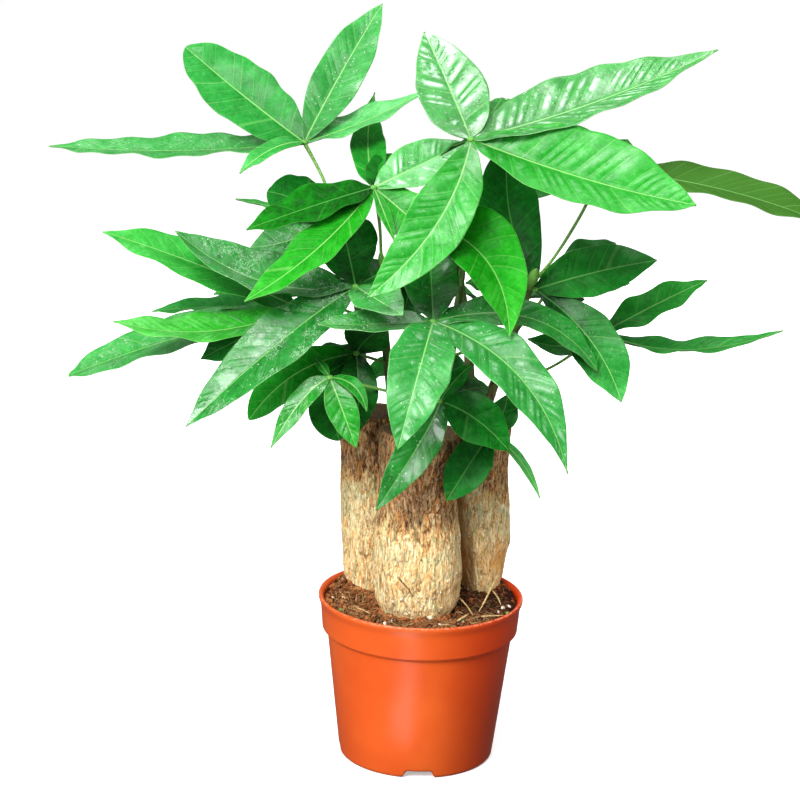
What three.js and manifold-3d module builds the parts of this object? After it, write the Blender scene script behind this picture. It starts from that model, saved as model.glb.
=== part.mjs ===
// A potted money tree: three thick cut trunks in a filled nursery pot, with green shoots on their
// cut tops and long-stalked leaves, each a hand of pointed leaflets round one hub.
// Millimetres, +Z up. The origin is the centre of the pot's underside, and the front is -Y.
import * as THREE from 'three';
import { mergeVertices } from 'three/addons/utils/BufferGeometryUtils.js';
import Module from 'manifold-3d';

const wasm = await Module();
wasm.setup();

// Driving sizes of the pot.
const potHeight = 106;
const lipRadius = 65;
const lipDepth = 4.5;
const bandTopRadius = 63.4;
const bandFootRadius = 62.2;
const bandHeight = 24.5;
const creaseRadius = 58.9;
const creaseRise = 3;
const footRadius = 49.5;
const footCorner = 3;
const potWall = 1.5;
const floorUnderside = 6;
const notchCount = 4;
const notchHeight = 5.2;
const notchWidthTop = 16;
const notchWidthFoot = 21;
const notchTurn = THREE.MathUtils.degToRad(2.3);
const drainRadius = 3.5;
const drainRingRadius = 30;
const drainCount = 6;

// Clearance that touching pieces keep.
const gap = 0.3;

// How many sides the round forms have.
const potSides = 36;
const trunkSides = 22;
const shootSides = 6;
const stalkSides = 5;
const stalkSteps = 5;
const shootSteps = 8;

// Driving sizes of the trunks, the soil and the green parts.
const trunkTop = 217;
const trunkFoot = 60;
const soilLevel = 100.5;
const soilMound = 7.5;
const socketDepth = 9;
const cutEdge = 1.8;
const bladeLeast = 0.5;
const bladeThickness = 0.7;
const ribThickness = 1.5;
const stalkRadius = 1.05;
const hubRadius = 2.9;

// Where the eye stood that took the reading of the crown. A reading is (right, up) on the upright
// plane through the pot's axis, and a depth slides the point along its sight line.
const eye = new THREE.Vector3(-17, -1500, 635);

// The point at depth back behind the axis that is seen at (right, up).
function seen([right, up, back]) {
  const onPlane = new THREE.Vector3(right, 0, up);
  return onPlane.sub(eye).multiplyScalar((back - eye.y) / -eye.y).add(eye);
}

const materials = {
  pot: new THREE.MeshStandardMaterial({ color: 0xd9501f, roughness: 0.42, metalness: 0 }),
  soil: new THREE.MeshStandardMaterial({ color: 0x6b4429, roughness: 0.95, metalness: 0 }),
  bark: new THREE.MeshStandardMaterial({ color: 0xb59a6c, roughness: 0.85, metalness: 0 }),
  shoot: new THREE.MeshStandardMaterial({ color: 0x5d7a3a, roughness: 0.6, metalness: 0 }),
  leaf: new THREE.MeshStandardMaterial({ color: 0x1f8f38, roughness: 0.38, metalness: 0 }),
};

const plant = new THREE.Group();
plant.name = 'potted_money_tree';

function addPiece(name, geometry, material) {
  geometry.computeVertexNormals();
  const piece = new THREE.Mesh(geometry, material);
  piece.name = name;
  plant.add(piece);
}

// A closed geometry as a solid that can be joined and cut.
function solidOf(geometry) {
  const bare = geometry.clone();
  bare.deleteAttribute('normal');
  bare.deleteAttribute('uv');
  const whole = mergeVertices(bare, 1e-4);
  return new wasm.Manifold(new wasm.Mesh({
    numProp: 3,
    vertProperties: new Float32Array(whole.attributes.position.array),
    triVerts: new Uint32Array(whole.index.array),
  }));
}

function geometryOf(solid) {
  const mesh = solid.getMesh();
  const geometry = new THREE.BufferGeometry();
  geometry.setAttribute('position', new THREE.BufferAttribute(new Float32Array(mesh.vertProperties), 3));
  geometry.setIndex(new THREE.BufferAttribute(new Uint32Array(mesh.triVerts), 1));
  return geometry;
}

function joined(solids) {
  return solids.reduce((whole, solid) => whole.add(solid));
}

// A closed body through rings of equally many points. The first half of each ring and the second
// half split their quads on opposite diagonals, so that the two faces of a thin blade fold alike.
function loft(rings) {
  const around = rings[0].length;
  const positions = rings.flat().flatMap((p) => [p.x, p.y, p.z]);
  const index = [];
  for (let i = 0; i < rings.length - 1; i += 1) {
    for (let j = 0; j < around; j += 1) {
      const a = i * around + j;
      const b = i * around + (j + 1) % around;
      const c = a + around;
      const d = b + around;
      if (j < around / 2) {
        index.push(a, b, d, a, d, c);
      } else {
        index.push(a, b, c, b, d, c);
      }
    }
  }
  const last = (rings.length - 1) * around;
  for (let j = 1; j < around - 1; j += 1) {
    index.push(0, j + 1, j, last, last + j, last + j + 1);
  }
  const geometry = new THREE.BufferGeometry();
  geometry.setAttribute('position', new THREE.Float32BufferAttribute(positions, 3));
  geometry.setIndex(index);
  return geometry;
}

// A round rod along a curve, with its radius given from 0 at the start to 1 at the end.
function rod(curve, steps, sides, radiusAt) {
  const frames = curve.computeFrenetFrames(steps, false);
  const rings = [];
  for (let i = 0; i <= steps; i += 1) {
    const centre = curve.getPointAt(i / steps);
    const radius = radiusAt(i / steps);
    const ring = [];
    for (let j = 0; j < sides; j += 1) {
      const turn = (2 * Math.PI * j) / sides;
      ring.push(centre.clone()
        .addScaledVector(frames.normals[i], radius * Math.cos(turn))
        .addScaledVector(frames.binormals[i], radius * Math.sin(turn)));
    }
    rings.push(ring);
  }
  return solidOf(loft(rings));
}

// A body turned round the pot's axis from a profile of (radius, height).
function turned(profile) {
  const points = profile.map(([radius, height]) => new THREE.Vector2(radius, height));
  return new THREE.LatheGeometry(points, potSides).rotateX(Math.PI / 2);
}

// Pot

const lipTop = potHeight - 0.2;
const bandTop = potHeight - lipDepth;
const crease = potHeight - bandHeight;
const bandFoot = crease + creaseRise;
const floorTop = floorUnderside + potWall;
const footInner = footRadius - footCorner - potWall;

// Outer radius of the pot's body, from the foot to the crease.
function bodyRadius(z) {
  return THREE.MathUtils.mapLinear(z, footCorner, crease, footRadius, creaseRadius);
}

function potSolid() {
  const profile = [
    [0, floorUnderside], [footInner, floorUnderside], [footInner + 0.4, 0],
    [footRadius - footCorner * 0.55, 0], [footRadius - footCorner * 0.2, footCorner * 0.35],
    [footRadius, footCorner], [creaseRadius, crease], [bandFootRadius, bandFoot],
    [bandTopRadius, bandTop], [lipRadius - 0.3, bandTop + 0.8], [lipRadius, lipTop - 0.8],
    [lipRadius - 0.8, potHeight], [lipRadius - 2.2, potHeight], [bandTopRadius - potWall, bandTop + 1],
    [bandFootRadius - potWall, bandFoot], [creaseRadius - potWall, crease],
    [bodyRadius(floorTop) - potWall, floorTop], [0, floorTop],
  ];
  const shell = solidOf(turned(profile));
  const notch = new THREE.Shape();
  notch.moveTo(-notchWidthFoot / 2, -1);
  notch.lineTo(notchWidthFoot / 2, -1);
  notch.lineTo(notchWidthTop / 2, notchHeight);
  notch.lineTo(-notchWidthTop / 2, notchHeight);
  const cutters = [];
  for (let i = 0; i < notchCount; i += 1) {
    const cutter = new THREE.ExtrudeGeometry(notch, { depth: 18, bevelEnabled: false })
      .rotateX(Math.PI / 2)
      .translate(0, -footRadius + 12, 0)
      .rotateZ((2 * Math.PI * i) / notchCount + notchTurn);
    cutters.push(solidOf(cutter));
  }
  for (let i = 0; i < drainCount; i += 1) {
    const turn = (2 * Math.PI * (i + 0.5)) / drainCount;
    const hole = new THREE.CylinderGeometry(drainRadius, drainRadius, 4 * potWall, 12)
      .rotateX(Math.PI / 2)
      .translate(drainRingRadius * Math.cos(turn), drainRingRadius * Math.sin(turn), floorTop - potWall / 2);
    cutters.push(solidOf(hole));
  }
  return shell.subtract(joined(cutters));
}

// Trunks: each stands from foot to head, with its radius by height, and is cut flat at the top.

const trunks = {
  trunk_front: {
    foot: [-1.2, -11.2], head: [-4.4, -10.7], turn: 0.4,
    radii: [[trunkFoot, 15], [84, 17.5], [97, 22], [109, 25.8], [125, 27.4], [145, 26.4], [168, 24], [trunkTop, 25]],
    knot: null,
  },
  trunk_left: {
    foot: [-28.5, 25.5], head: [-35, 31.5], turn: 2.1,
    radii: [[trunkFoot, 12], [82, 14.5], [99, 18], [116, 20.1], [145, 21.1], [175, 20.5], [trunkTop, 21.5]],
    knot: { at: [-39.5, 208.5, 8], size: [4.6, 3.2, 3.6] },
  },
  trunk_right: {
    foot: [41, 22], head: [34.5, 28], turn: 4.4,
    radii: [[trunkFoot, 5], [84, 8.5], [101, 12.5], [120, 15], [138, 18.4], [154, 18.6], [184, 17.4], [trunkTop, 19.5]],
    knot: null,
  },
};

const trunkHeights = [0, 0.15, 0.24, 0.31, 0.4, 0.5, 0.6, 0.78, 0.975, 1];

function radiusAtHeight(radii, z) {
  const next = Math.max(1, radii.findIndex(([height]) => height >= z));
  const [low, lowRadius] = radii[next - 1];
  const [high, highRadius] = radii[next];
  return THREE.MathUtils.lerp(lowRadius, highRadius, THREE.MathUtils.smoothstep(z, low, high));
}

// Bark: a slow swell round the trunk, with shallow upright fissures that waver as they climb.
function barkSwell(angle, z, turn) {
  const swell = 0.035 * Math.sin(2 * angle + turn + z * 0.012) + 0.02 * Math.sin(5 * angle - turn);
  const fissure = 0.012 * Math.sin(11 * angle + 3 * turn + 1.5 * Math.sin(z * 0.06));
  return 1 + swell + fissure;
}

function trunkSolid({ foot, head, turn, radii, knot }, clearance) {
  const rings = trunkHeights.map((share) => {
    const z = THREE.MathUtils.lerp(trunkFoot, trunkTop, share) - (share === 0 ? clearance : 0);
    const shrink = share === 1 ? cutEdge : 0;
    const x = THREE.MathUtils.lerp(foot[0], head[0], share);
    const y = THREE.MathUtils.lerp(foot[1], head[1], share);
    const ring = [];
    for (let j = 0; j < trunkSides; j += 1) {
      const angle = (2 * Math.PI * j) / trunkSides;
      const plain = radiusAtHeight(radii, Math.max(z, trunkFoot + 0.01));
      const radius = plain * barkSwell(angle, z, turn) - shrink + clearance;
      ring.push(new THREE.Vector3(x + radius * Math.cos(angle), y + radius * Math.sin(angle), z));
    }
    return ring;
  });
  const trunk = solidOf(loft(rings));
  if (!knot || clearance > 0) {
    return trunk;
  }
  const place = seen(knot.at);
  const bump = new THREE.SphereGeometry(1, 8, 6).scale(...knot.size).translate(place.x, place.y, place.z);
  return trunk.add(solidOf(bump));
}

// Soil: fills the pot, lies a little below the lip in front and is heaped behind, round the trunks.

function soilHeight(x, y) {
  const heap = soilMound * THREE.MathUtils.smoothstep(y, -20, 45);
  const edge = 3 * THREE.MathUtils.smoothstep(Math.hypot(x, y), 46, 62);
  const lumps = 0.8 * Math.sin(x * 0.21 + 1) * Math.cos(y * 0.17) + 0.6 * Math.sin(x * 0.11 - y * 0.29);
  return soilLevel + heap - edge + lumps;
}

function soilSolid() {
  const side = gap + potWall;
  const topMark = 100;
  const profile = [
    [0, floorTop + gap], [bodyRadius(floorTop) - side - 1, floorTop + gap],
    [bodyRadius(floorTop + 2) - side, floorTop + 2], [creaseRadius - side, crease + 0.2],
    [bandFootRadius - side, bandFoot + 0.2], [bandTopRadius - side - 0.5, topMark - 3],
    [bandTopRadius - side - 0.8, topMark], [50, topMark], [26, topMark], [0, topMark],
  ];
  const body = turned(profile);
  const places = body.attributes.position;
  for (let i = 0; i < places.count; i += 1) {
    if (places.getZ(i) > topMark - 1) {
      places.setZ(i, soilHeight(places.getX(i), places.getY(i)));
    }
  }
  return solidOf(body);
}

// Shoots: green stems that stand in sockets in the trunks' cut tops. Points are (x, y, z).

const shoots = {
  shoot_left: { points: [[-40, 34], [-43, 33, 262], [-50, 26, 322]], thick: 3.4, thin: 1.9 },
  shoot_centre: { points: [[-22, 22], [-27, 6, 268], [-31, -9, 322]], thick: 3.4, thin: 1.9 },
  shoot_front: { points: [[-8, -14], [-6, -22, 240], [-2, -34, 266]], thick: 3.2, thin: 2 },
  shoot_middle: { points: [[8, -4], [14, -4, 268], [19, -8, 322]], thick: 3.6, thin: 2 },
  shoot_right: { points: [[38, 24], [49, 16, 262], [61, -12, 313]], thick: 3.6, thin: 2.2 },
  shoot_back: { points: [[28, 36], [24, 46, 270], [14, 56, 326]], thick: 3.6, thin: 2 },
};

function shootCurve(name, clearance) {
  const [[x, y], ...rest] = shoots[name].points;
  const places = [[x, y, trunkTop - socketDepth - clearance], [x, y, trunkTop + 6], ...rest];
  const points = places.map((p) => new THREE.Vector3(...p));
  const [before, top] = points.slice(-2);
  top.addScaledVector(top.clone().sub(before).normalize(), clearance);
  return new THREE.CatmullRomCurve3(points);
}

function shootSolid(name, clearance) {
  const { thick, thin } = shoots[name];
  const curve = shootCurve(name, clearance);
  return rod(curve, shootSteps, shootSides, (share) => THREE.MathUtils.lerp(thick, thin, share) + clearance);
}

// Leaves. hub, mid and tip are readings (right, up, depth): a hub's depth counts from the pot's
// axis, and a leaflet's mid and tip count from their hub. The stalk leaves its shoot at a share of
// the shoot's length. wide is the blade's breadth, and lean turns its face from level to the front.

const leaves = {
  leaf_upper_left: {
    hub: [-80, 393, 36], shoot: 'shoot_left', at: 0.97, via: [[-68, 371, 34]],
    leaflets: [
      { mid: [-155, 385.5, 22], tip: [-235, 386, 46], wide: 38, lean: 14 },
      { mid: [-117, 420, 20], tip: [-152.5, 448.5, 36], wide: 41, lean: 58, foot: 0.6, point: 0.6 },
      { mid: [-57.5, 438, 32], tip: [-35, 478, 58], wide: 31, lean: 62 },
      { mid: [-45, 406.5, 16], tip: [-8.5, 426, 30], wide: 28, lean: 12 },
      { mid: [-99, 388.5, -20], tip: [-119, 373, -36], wide: 15, lean: 22 },
    ],
  },
  leaf_top_right: {
    hub: [21, 398, -48], shoot: 'shoot_middle', at: 0.985, via: [[23, 345, -28]],
    leaflets: [
      { mid: [6, 431, 24], tip: [-9.5, 462, 42], wide: 41, lean: 62, foot: 0.6 },
      { mid: [98, 424, 20], tip: [167, 457, 36], wide: 42, lean: 30, fold: 0.45, foot: 0.7, point: 1.1 },
      { mid: [93, 375.5, -18], tip: [160, 362, -30], wide: 52, lean: 45, fold: 0.45 },
      { mid: [2, 345, -24], tip: [-39, 298, -40], wide: 36, lean: 62 },
      { mid: [12, 394, 12], tip: [3, 388, 22], wide: 9, lean: 30 },
      { mid: [32, 413, 40], tip: [39, 424, 74], wide: 26, lean: -5 },
    ],
  },
  leaf_centre_top: {
    hub: [-37, 366.5, -14], shoot: 'shoot_centre', at: 0.99, via: [[-33, 345, -12]],
    leaflets: [
      { mid: [-41.4, 395.5, 76], tip: [-38.1, 424.8, 112], wide: 22, lean: 62, point: 1.3 },
      { mid: [-31, 379, 34], tip: [-27, 388, 66], wide: 22, lean: 35 },
      { mid: [-8, 382, 14], tip: [18, 396, 28], wide: 30, lean: 48 },
      { mid: [-14, 348, -7], tip: [9, 326, -17], wide: 29, lean: 55 },
      { mid: [-71, 327, -30], tip: [-115, 293, -52], wide: 29, lean: 24 },
      { mid: [-73.5, 354, -10], tip: [-114.5, 338, -18], wide: 30, lean: 30 },
      { mid: [-30, 350, -18], tip: [-23.5, 334, -28], wide: 8, lean: 0 },
    ],
  },
  leaf_centre_left: {
    hub: [-46.5, 304.5, -30], shoot: 'shoot_centre', at: 0.72, via: [],
    leaflets: [
      { mid: [-52, 328, 26], tip: [-57, 348, 46], wide: 38, lean: 52, point: 0.7 },
      { mid: [-105, 306, 6], tip: [-158, 336, 12], wide: 42, lean: 22, fold: 0.4 },
      { mid: [-30, 314, 20], tip: [-12, 322, 36], wide: 24, lean: 22 },
      { mid: [-93.5, 267, -26], tip: [-150.5, 211.5, -46], wide: 37, lean: 38 },
      { mid: [-32, 296, -28], tip: [-17, 287.5, -46], wide: 28, lean: 36 },
    ],
  },
  leaf_left: {
    hub: [-81.5, 289.5, -6], shoot: 'shoot_left', at: 0.55, via: [],
    leaflets: [
      { mid: [-138, 313, 4], tip: [-202.5, 334, 8], wide: 42, lean: 25 },
      { mid: [-138, 273, -14], tip: [-196, 278, -28], wide: 34, lean: 17 },
      { mid: [-152, 270, 10], tip: [-224, 242, 18], wide: 38, lean: 22, point: 0.65 },
      { mid: [-128, 289, 36], tip: [-172, 285, 58], wide: 32, lean: 12 },
      { mid: [-112, 272, 10], tip: [-141.5, 255.5, 14], wide: 30, lean: 40 },
    ],
  },
  leaf_front: {
    hub: [2, 284, -58], shoot: 'shoot_front', at: 0.985, via: [],
    leaflets: [
      { mid: [-34, 281, -2], tip: [-69, 280, -8], wide: 28, lean: 16 },
      { mid: [-5.5, 253, -36], tip: [-17.5, 201, -58], wide: 38, lean: 66 },
      { mid: [57.5, 249.5, -28], tip: [89.7, 188.5, -42], wide: 35, lean: 36, point: 1.25 },
      { mid: [63, 287.5, 14], tip: [105, 255.5, 14], wide: 28, lean: 26, foot: 0.55, point: 0.8 },
      { mid: [0, 309, 22], tip: [-2, 331, 36], wide: 34, lean: 52 },
    ],
  },
  leaf_right: {
    hub: [64, 306, -10], shoot: 'shoot_right', at: 0.9, via: [],
    leaflets: [
      { mid: [46, 355, 26], tip: [45, 400, 42], wide: 37, lean: 62 },
      { mid: [100, 318, 8], tip: [138, 327, 12], wide: 34, lean: 52 },
      { mid: [90, 324, 28], tip: [112, 337, 46], wide: 27, lean: 24, foot: 1.8 },
      { mid: [42, 309, 12], tip: [21, 309, 18], wide: 26, lean: 22 },
      { mid: [99, 276, -16], tip: [121, 236, -26], wide: 33, lean: 48, foot: 1.15 },
    ],
  },
  leaf_middle_right: {
    hub: [-2.4, 345.1, -46], shoot: 'shoot_middle', at: 0.88, via: [[17, 325, -40]],
    leaflets: [
      { mid: [35, 321.3, -18], tip: [49.5, 275.6, -30], wide: 44, lean: 38, fold: 0.5, foot: 0.6, point: 1.1 },
      { mid: [-3, 357, 4], tip: [-5, 370, 8], wide: 18, lean: 60 },
      { mid: [5, 356, 1], tip: [11, 364, 2], wide: 14, lean: 60 },
    ],
  },
  leaf_far_right: {
    hub: [107, 280, 36], shoot: 'shoot_right', at: 0.3, via: [[72, 255, 28]],
    leaflets: [
      { mid: [138, 298.5, 12], tip: [169.5, 315.5, 22], wide: 26, lean: 26 },
      { mid: [160, 271, 0], tip: [218.5, 285.5, 6], wide: 28, lean: 6 },
      { mid: [84, 271, -10], tip: [61, 275, -20], wide: 23, lean: 30 },
    ],
  },
  leaf_far_right_top: {
    hub: [102, 381, 8], shoot: 'shoot_right', at: 0.985, via: [[73, 324, -10], [88, 350, -2]],
    leaflets: [
      { mid: [180, 371, -4], tip: [254, 347, -14], wide: 38, lean: 18 },
      { mid: [109, 392, 28], tip: [116, 401, 50], wide: 20, lean: 34 },
      { mid: [108, 370, -14], tip: [112, 357, -26], wide: 24, lean: 20 },
      { mid: [90, 396, 12], tip: [78, 410, 22], wide: 20, lean: 30 },
    ],
  },
  leaf_young_left: {
    hub: [-61, 246, -52], shoot: 'shoot_front', at: 0.55, via: [],
    leaflets: [
      { mid: [-53, 226, -8], tip: [-43.5, 201, -14], wide: 19, lean: 62 },
      { mid: [-78, 231, -6], tip: [-97, 199.5, -14], wide: 15, lean: 44 },
      { mid: [-46, 241, -8], tip: [-37.5, 225, -14], wide: 9, lean: 40 },
      { mid: [-66, 253, 6], tip: [-70, 258, 12], wide: 6, lean: 40 },
    ],
  },
  leaf_lower_left: {
    hub: [-45, 262, -18], shoot: 'shoot_centre', at: 0.4, via: [],
    leaflets: [
      { mid: [-82, 248, -2], tip: [-111, 217, -8], wide: 26, lean: 58, point: 0.7 },
      { mid: [-57, 233, -8], tip: [-54, 205.5, -12], wide: 32, lean: 64, point: 0.7 },
      { mid: [-43, 238, -12], tip: [-43, 211, -16], wide: 24, lean: 64 },
      { mid: [-59, 265, 10], tip: [-72, 263, 18], wide: 14, lean: 12 },
      { mid: [-38, 272, 10], tip: [-26, 280, 20], wide: 30, lean: 45 },
    ],
  },
  leaf_lower_front: {
    hub: [8, 233, -50], shoot: 'shoot_front', at: 0.7, via: [],
    leaflets: [
      { mid: [-3, 207, -8], tip: [-30, 160.5, -6], wide: 25, lean: 64, foot: 1 },
      { mid: [31, 222, -5], tip: [52.5, 202, -10], wide: 30, lean: 60 },
      { mid: [17, 247, 8], tip: [27, 257, 14], wide: 12, lean: 40 },
      { mid: [24, 241, 15], tip: [38, 243, 26], wide: 22, lean: 40 },
    ],
  },
  leaf_lower_right: {
    hub: [40, 213, -28], shoot: 'shoot_middle', at: 0.25, via: [[33, 226, -20]],
    leaflets: [
      { mid: [27, 191, -9], tip: [14.3, 168, -11], wide: 26, lean: 64 },
      { mid: [47, 225, 8], tip: [50, 239, 16], wide: 20, lean: 45 },
      { mid: [59, 197, 5], tip: [73, 172, 8], wide: 7, lean: 40 },
    ],
  },
  leaf_upper_left_back: {
    hub: [-60, 345, 42], shoot: 'shoot_left', at: 0.85, via: [],
    leaflets: [
      { mid: [-83, 357, 8], tip: [-102, 362, 14], wide: 34, lean: 42, point: 0.7 },
      { mid: [-88, 332, -10], tip: [-112, 327, -18], wide: 30, lean: 32 },
      { mid: [-95, 352, 24], tip: [-121, 357, 44], wide: 12, lean: 10 },
      { mid: [-62, 352, 32], tip: [-66, 356, 64], wide: 30, lean: 20 },
    ],
  },
  leaf_inner: {
    hub: [-12, 318, 24], shoot: 'shoot_middle', at: 0.6, via: [],
    leaflets: [
      { mid: [-27, 313, 4], tip: [-39, 308, 6], wide: 26, lean: 30 },
      { mid: [6, 323, 6], tip: [24, 322, 8], wide: 28, lean: 30 },
      { mid: [-14, 300, -8], tip: [-18, 282, -12], wide: 30, lean: 50 },
      { mid: [-12, 326, 20], tip: [-10, 328, 40], wide: 30, lean: 20 },
    ],
  },
  leaf_back_left: {
    hub: [-76, 298, 74], shoot: 'shoot_left', at: 0.62, via: [],
    leaflets: [
      { mid: [-106, 301, 12], tip: [-134, 297, 16], wide: 32, lean: 20 },
      { mid: [-90, 298, 26], tip: [-104, 290, 40], wide: 32, lean: 20 },
      { mid: [-72, 296, 26], tip: [-68, 286, 42], wide: 32, lean: 20 },
    ],
  },
  leaf_back_right: {
    hub: [70, 302, 68], shoot: 'shoot_right', at: 0.6, via: [],
    leaflets: [
      { mid: [98, 310, 18], tip: [122, 312, 30], wide: 32, lean: 20 },
      { mid: [80, 304, 30], tip: [88, 296, 48], wide: 32, lean: 20 },
      { mid: [58, 300, 32], tip: [50, 290, 50], wide: 32, lean: 20 },
    ],
  },
  leaf_back_middle: {
    hub: [-10, 306, 76], shoot: 'shoot_back', at: 0.7, via: [],
    leaflets: [
      { mid: [-30, 306, 22], tip: [-46, 296, 38], wide: 32, lean: 20 },
      { mid: [-8, 308, 26], tip: [-6, 298, 42], wide: 32, lean: 20 },
      { mid: [14, 306, 24], tip: [30, 296, 40], wide: 32, lean: 20 },
    ],
  },
  leaf_back_top: {
    hub: [32, 362, 68], shoot: 'shoot_back', at: 0.985, via: [],
    leaflets: [
      { mid: [62, 372, 14], tip: [86, 376, 22], wide: 32, lean: 30 },
      { mid: [46, 374, 28], tip: [54, 372, 48], wide: 32, lean: 20 },
      { mid: [24, 368, 28], tip: [14, 362, 46], wide: 32, lean: 20 },
    ],
  },
  leaf_back_low: {
    hub: [-4, 256, 72], shoot: 'shoot_back', at: 0.4, via: [],
    leaflets: [
      { mid: [-26, 252, 20], tip: [-42, 238, 34], wide: 30, lean: 30 },
      { mid: [-4, 252, 28], tip: [-4, 240, 42], wide: 30, lean: 30 },
      { mid: [18, 252, 20], tip: [34, 240, 34], wide: 30, lean: 30 },
    ],
  },
};

const longBlade = [0, 0.13, 0.3, 0.5, 0.68, 0.86, 1];
const shortBlade = [0, 0.2, 0.48, 0.78, 1];
const shortLength = 64;
const bladeFold = 0.22;
const bladeFoot = 0.85;
const bladePoint = 0.95;
const edgeWave = 1;

// Half breadth of a blade along its rib, 1 at the widest: a wedge at the foot and a drawn-out point.
function bladeOutline(share, foot, point) {
  const widest = foot / (foot + point);
  const curve = (s) => s ** foot * (1 - s) ** point;
  return curve(share) / curve(widest);
}

// One leaflet: its rib is a curve through mid, its blade a shallow V across the rib with waved
// edges, and the rib stands out below as a keel.
function leafletSolid(hub, leaflet) {
  const { mid, tip, wide, lean, fold = bladeFold, foot = bladeFoot, point = bladePoint } = leaflet;
  const from = seen(hub);
  const through = seen([mid[0], mid[1], hub[2] + mid[2]]);
  const to = seen([tip[0], tip[1], hub[2] + tip[2]]);
  const pull = through.clone().multiplyScalar(2).addScaledVector(from, -0.5).addScaledVector(to, -0.5);
  const rib = new THREE.QuadraticBezierCurve3(from, pull, to);
  const turn = THREE.MathUtils.degToRad(lean);
  const face = new THREE.Vector3(0, -Math.sin(turn), Math.cos(turn));
  const stations = rib.getLength() < shortLength ? shortBlade : longBlade;
  const rings = stations.map((share, station) => {
    const centre = rib.getPoint(share);
    const along = rib.getTangent(share);
    const across = new THREE.Vector3().crossVectors(along, face).normalize();
    const up = new THREE.Vector3().crossVectors(across, along).normalize();
    const half = Math.max((wide / 2) * bladeOutline(share, foot, point), bladeLeast);
    const wave = half > 4 ? edgeWave * (station % 2 === 0 ? 1 : -1) : 0;
    const thin = bladeThickness * Math.hypot(1, fold);
    const rise = fold * half;
    const place = (side, height) => centre.clone().addScaledVector(across, side).addScaledVector(up, height);
    return [
      place(-half, rise + wave), place(0, 0), place(half, rise - wave),
      place(half, rise - wave - thin), place(0, -ribThickness), place(-half, rise + wave - thin),
    ];
  });
  return solidOf(loft(rings));
}

function leafSolid({ hub, shoot, at, via, leaflets }) {
  const root = shootCurve(shoot, 0).getPointAt(at);
  const top = seen(hub);
  const route = new THREE.CatmullRomCurve3([root, ...via.map(seen), top]);
  const thickness = (share) => stalkRadius * (1 + 0.5 * Math.abs(2 * share - 1) ** 4);
  const stalk = rod(route, stalkSteps, stalkSides, thickness);
  const knob = solidOf(new THREE.SphereGeometry(hubRadius, 6, 4).translate(top.x, top.y, top.z));
  const whole = joined([stalk, knob, ...leaflets.map((leaflet) => leafletSolid(hub, leaflet))]);
  return whole.subtract(shootSolid(shoot, gap));
}

// The plant is put together.

addPiece('pot', geometryOf(potSolid()), materials.pot);

const trunkHoles = joined(Object.values(trunks).map((trunk) => trunkSolid(trunk, gap)));
addPiece('soil', geometryOf(soilSolid().subtract(trunkHoles)), materials.soil);

const sockets = joined(Object.keys(shoots).map((name) => shootSolid(name, gap)));
for (const [name, trunk] of Object.entries(trunks)) {
  addPiece(name, geometryOf(trunkSolid(trunk, 0).subtract(sockets)), materials.bark);
}

for (const name of Object.keys(shoots)) {
  addPiece(name, geometryOf(shootSolid(name, 0)), materials.shoot);
}

for (const [name, leaf] of Object.entries(leaves)) {
  addPiece(name, geometryOf(leafSolid(leaf)), materials.leaf);
}

export default plant;
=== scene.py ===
import math

import bpy
import numpy as np
from mathutils import Matrix


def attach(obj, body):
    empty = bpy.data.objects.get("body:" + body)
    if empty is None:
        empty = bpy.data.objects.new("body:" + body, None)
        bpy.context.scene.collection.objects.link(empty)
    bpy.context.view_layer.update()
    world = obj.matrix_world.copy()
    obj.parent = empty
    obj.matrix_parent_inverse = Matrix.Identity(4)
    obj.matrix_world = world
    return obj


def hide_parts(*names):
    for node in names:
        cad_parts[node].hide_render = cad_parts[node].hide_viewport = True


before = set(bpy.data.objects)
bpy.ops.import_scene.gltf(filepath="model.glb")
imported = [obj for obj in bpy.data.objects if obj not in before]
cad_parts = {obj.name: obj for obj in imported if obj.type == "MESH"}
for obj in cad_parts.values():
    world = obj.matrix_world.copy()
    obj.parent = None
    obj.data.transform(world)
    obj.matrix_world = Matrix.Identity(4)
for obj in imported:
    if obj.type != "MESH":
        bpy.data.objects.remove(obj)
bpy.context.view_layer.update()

# A potted money tree: three cut trunks in a filled nursery pot, and a crown of long-stalked leaves.
# Sizes are in millimetres, but those of the lights and of the materials' patterns are in metres.
# The front is -Y.

mm = 0.001

camera = {
    "eye": (-17.0, -1500.0, 635.0),
    "down": 15.0,  # degrees below level
    "roll": 1.8,  # degrees, so that the picture's right side sits lower
    "lens": 112.05,
    "sensor": 36.0,
}

lights = {
    "ambient": 0.13, "background": 1.0, "floorGlow": 0.4,
    "sunPower": 2.6, "sunSpread": 22.0, "sunFrom": (-0.52, -1.0, 0.90),
    "areas": [
        # name, place, aimed at, width, height, power, and whether it shows in reflections
        ("overhead", (-0.05, 0.25, 1.45), (0.0, 0.0, 0.30), 1.2, 0.8, 7.0, True),
        ("leftFront", (-1.20, -0.90, 0.42), (0.0, 0.0, 0.12), 0.4, 1.0, 13.5, True),
        ("highFront", (0.05, -1.10, 1.45), (0.0, 0.0, 0.36), 1.2, 0.8, 15.0, True),
        ("rightFill", (1.10, -1.20, 0.40), (0.0, 0.0, 0.13), 0.4, 0.8, 3.0, False),
        ("backFill", (0.30, 1.50, 0.70), (0.0, 0.0, 0.25), 1.2, 0.8, 20.0, False),
        ("floorStrip", (-0.028, -0.19, 0.004), (-0.028, -0.19, 1.0), 0.22, 0.04, 0.09, True),
    ],
    # A narrow fill on the shaded side of the trunks.
    "spotFrom": (0.98, -0.90, 0.30), "spotAt": (0.038, 0.02, 0.152), "spotWidth": 5.6,
    "spotPower": 42.0, "spotSize": 0.08, "spotBlend": 0.7,
}


def unit(vectors):
    return vectors / np.maximum(np.linalg.norm(vectors, axis=-1, keepdims=True), 1e-12)


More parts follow.
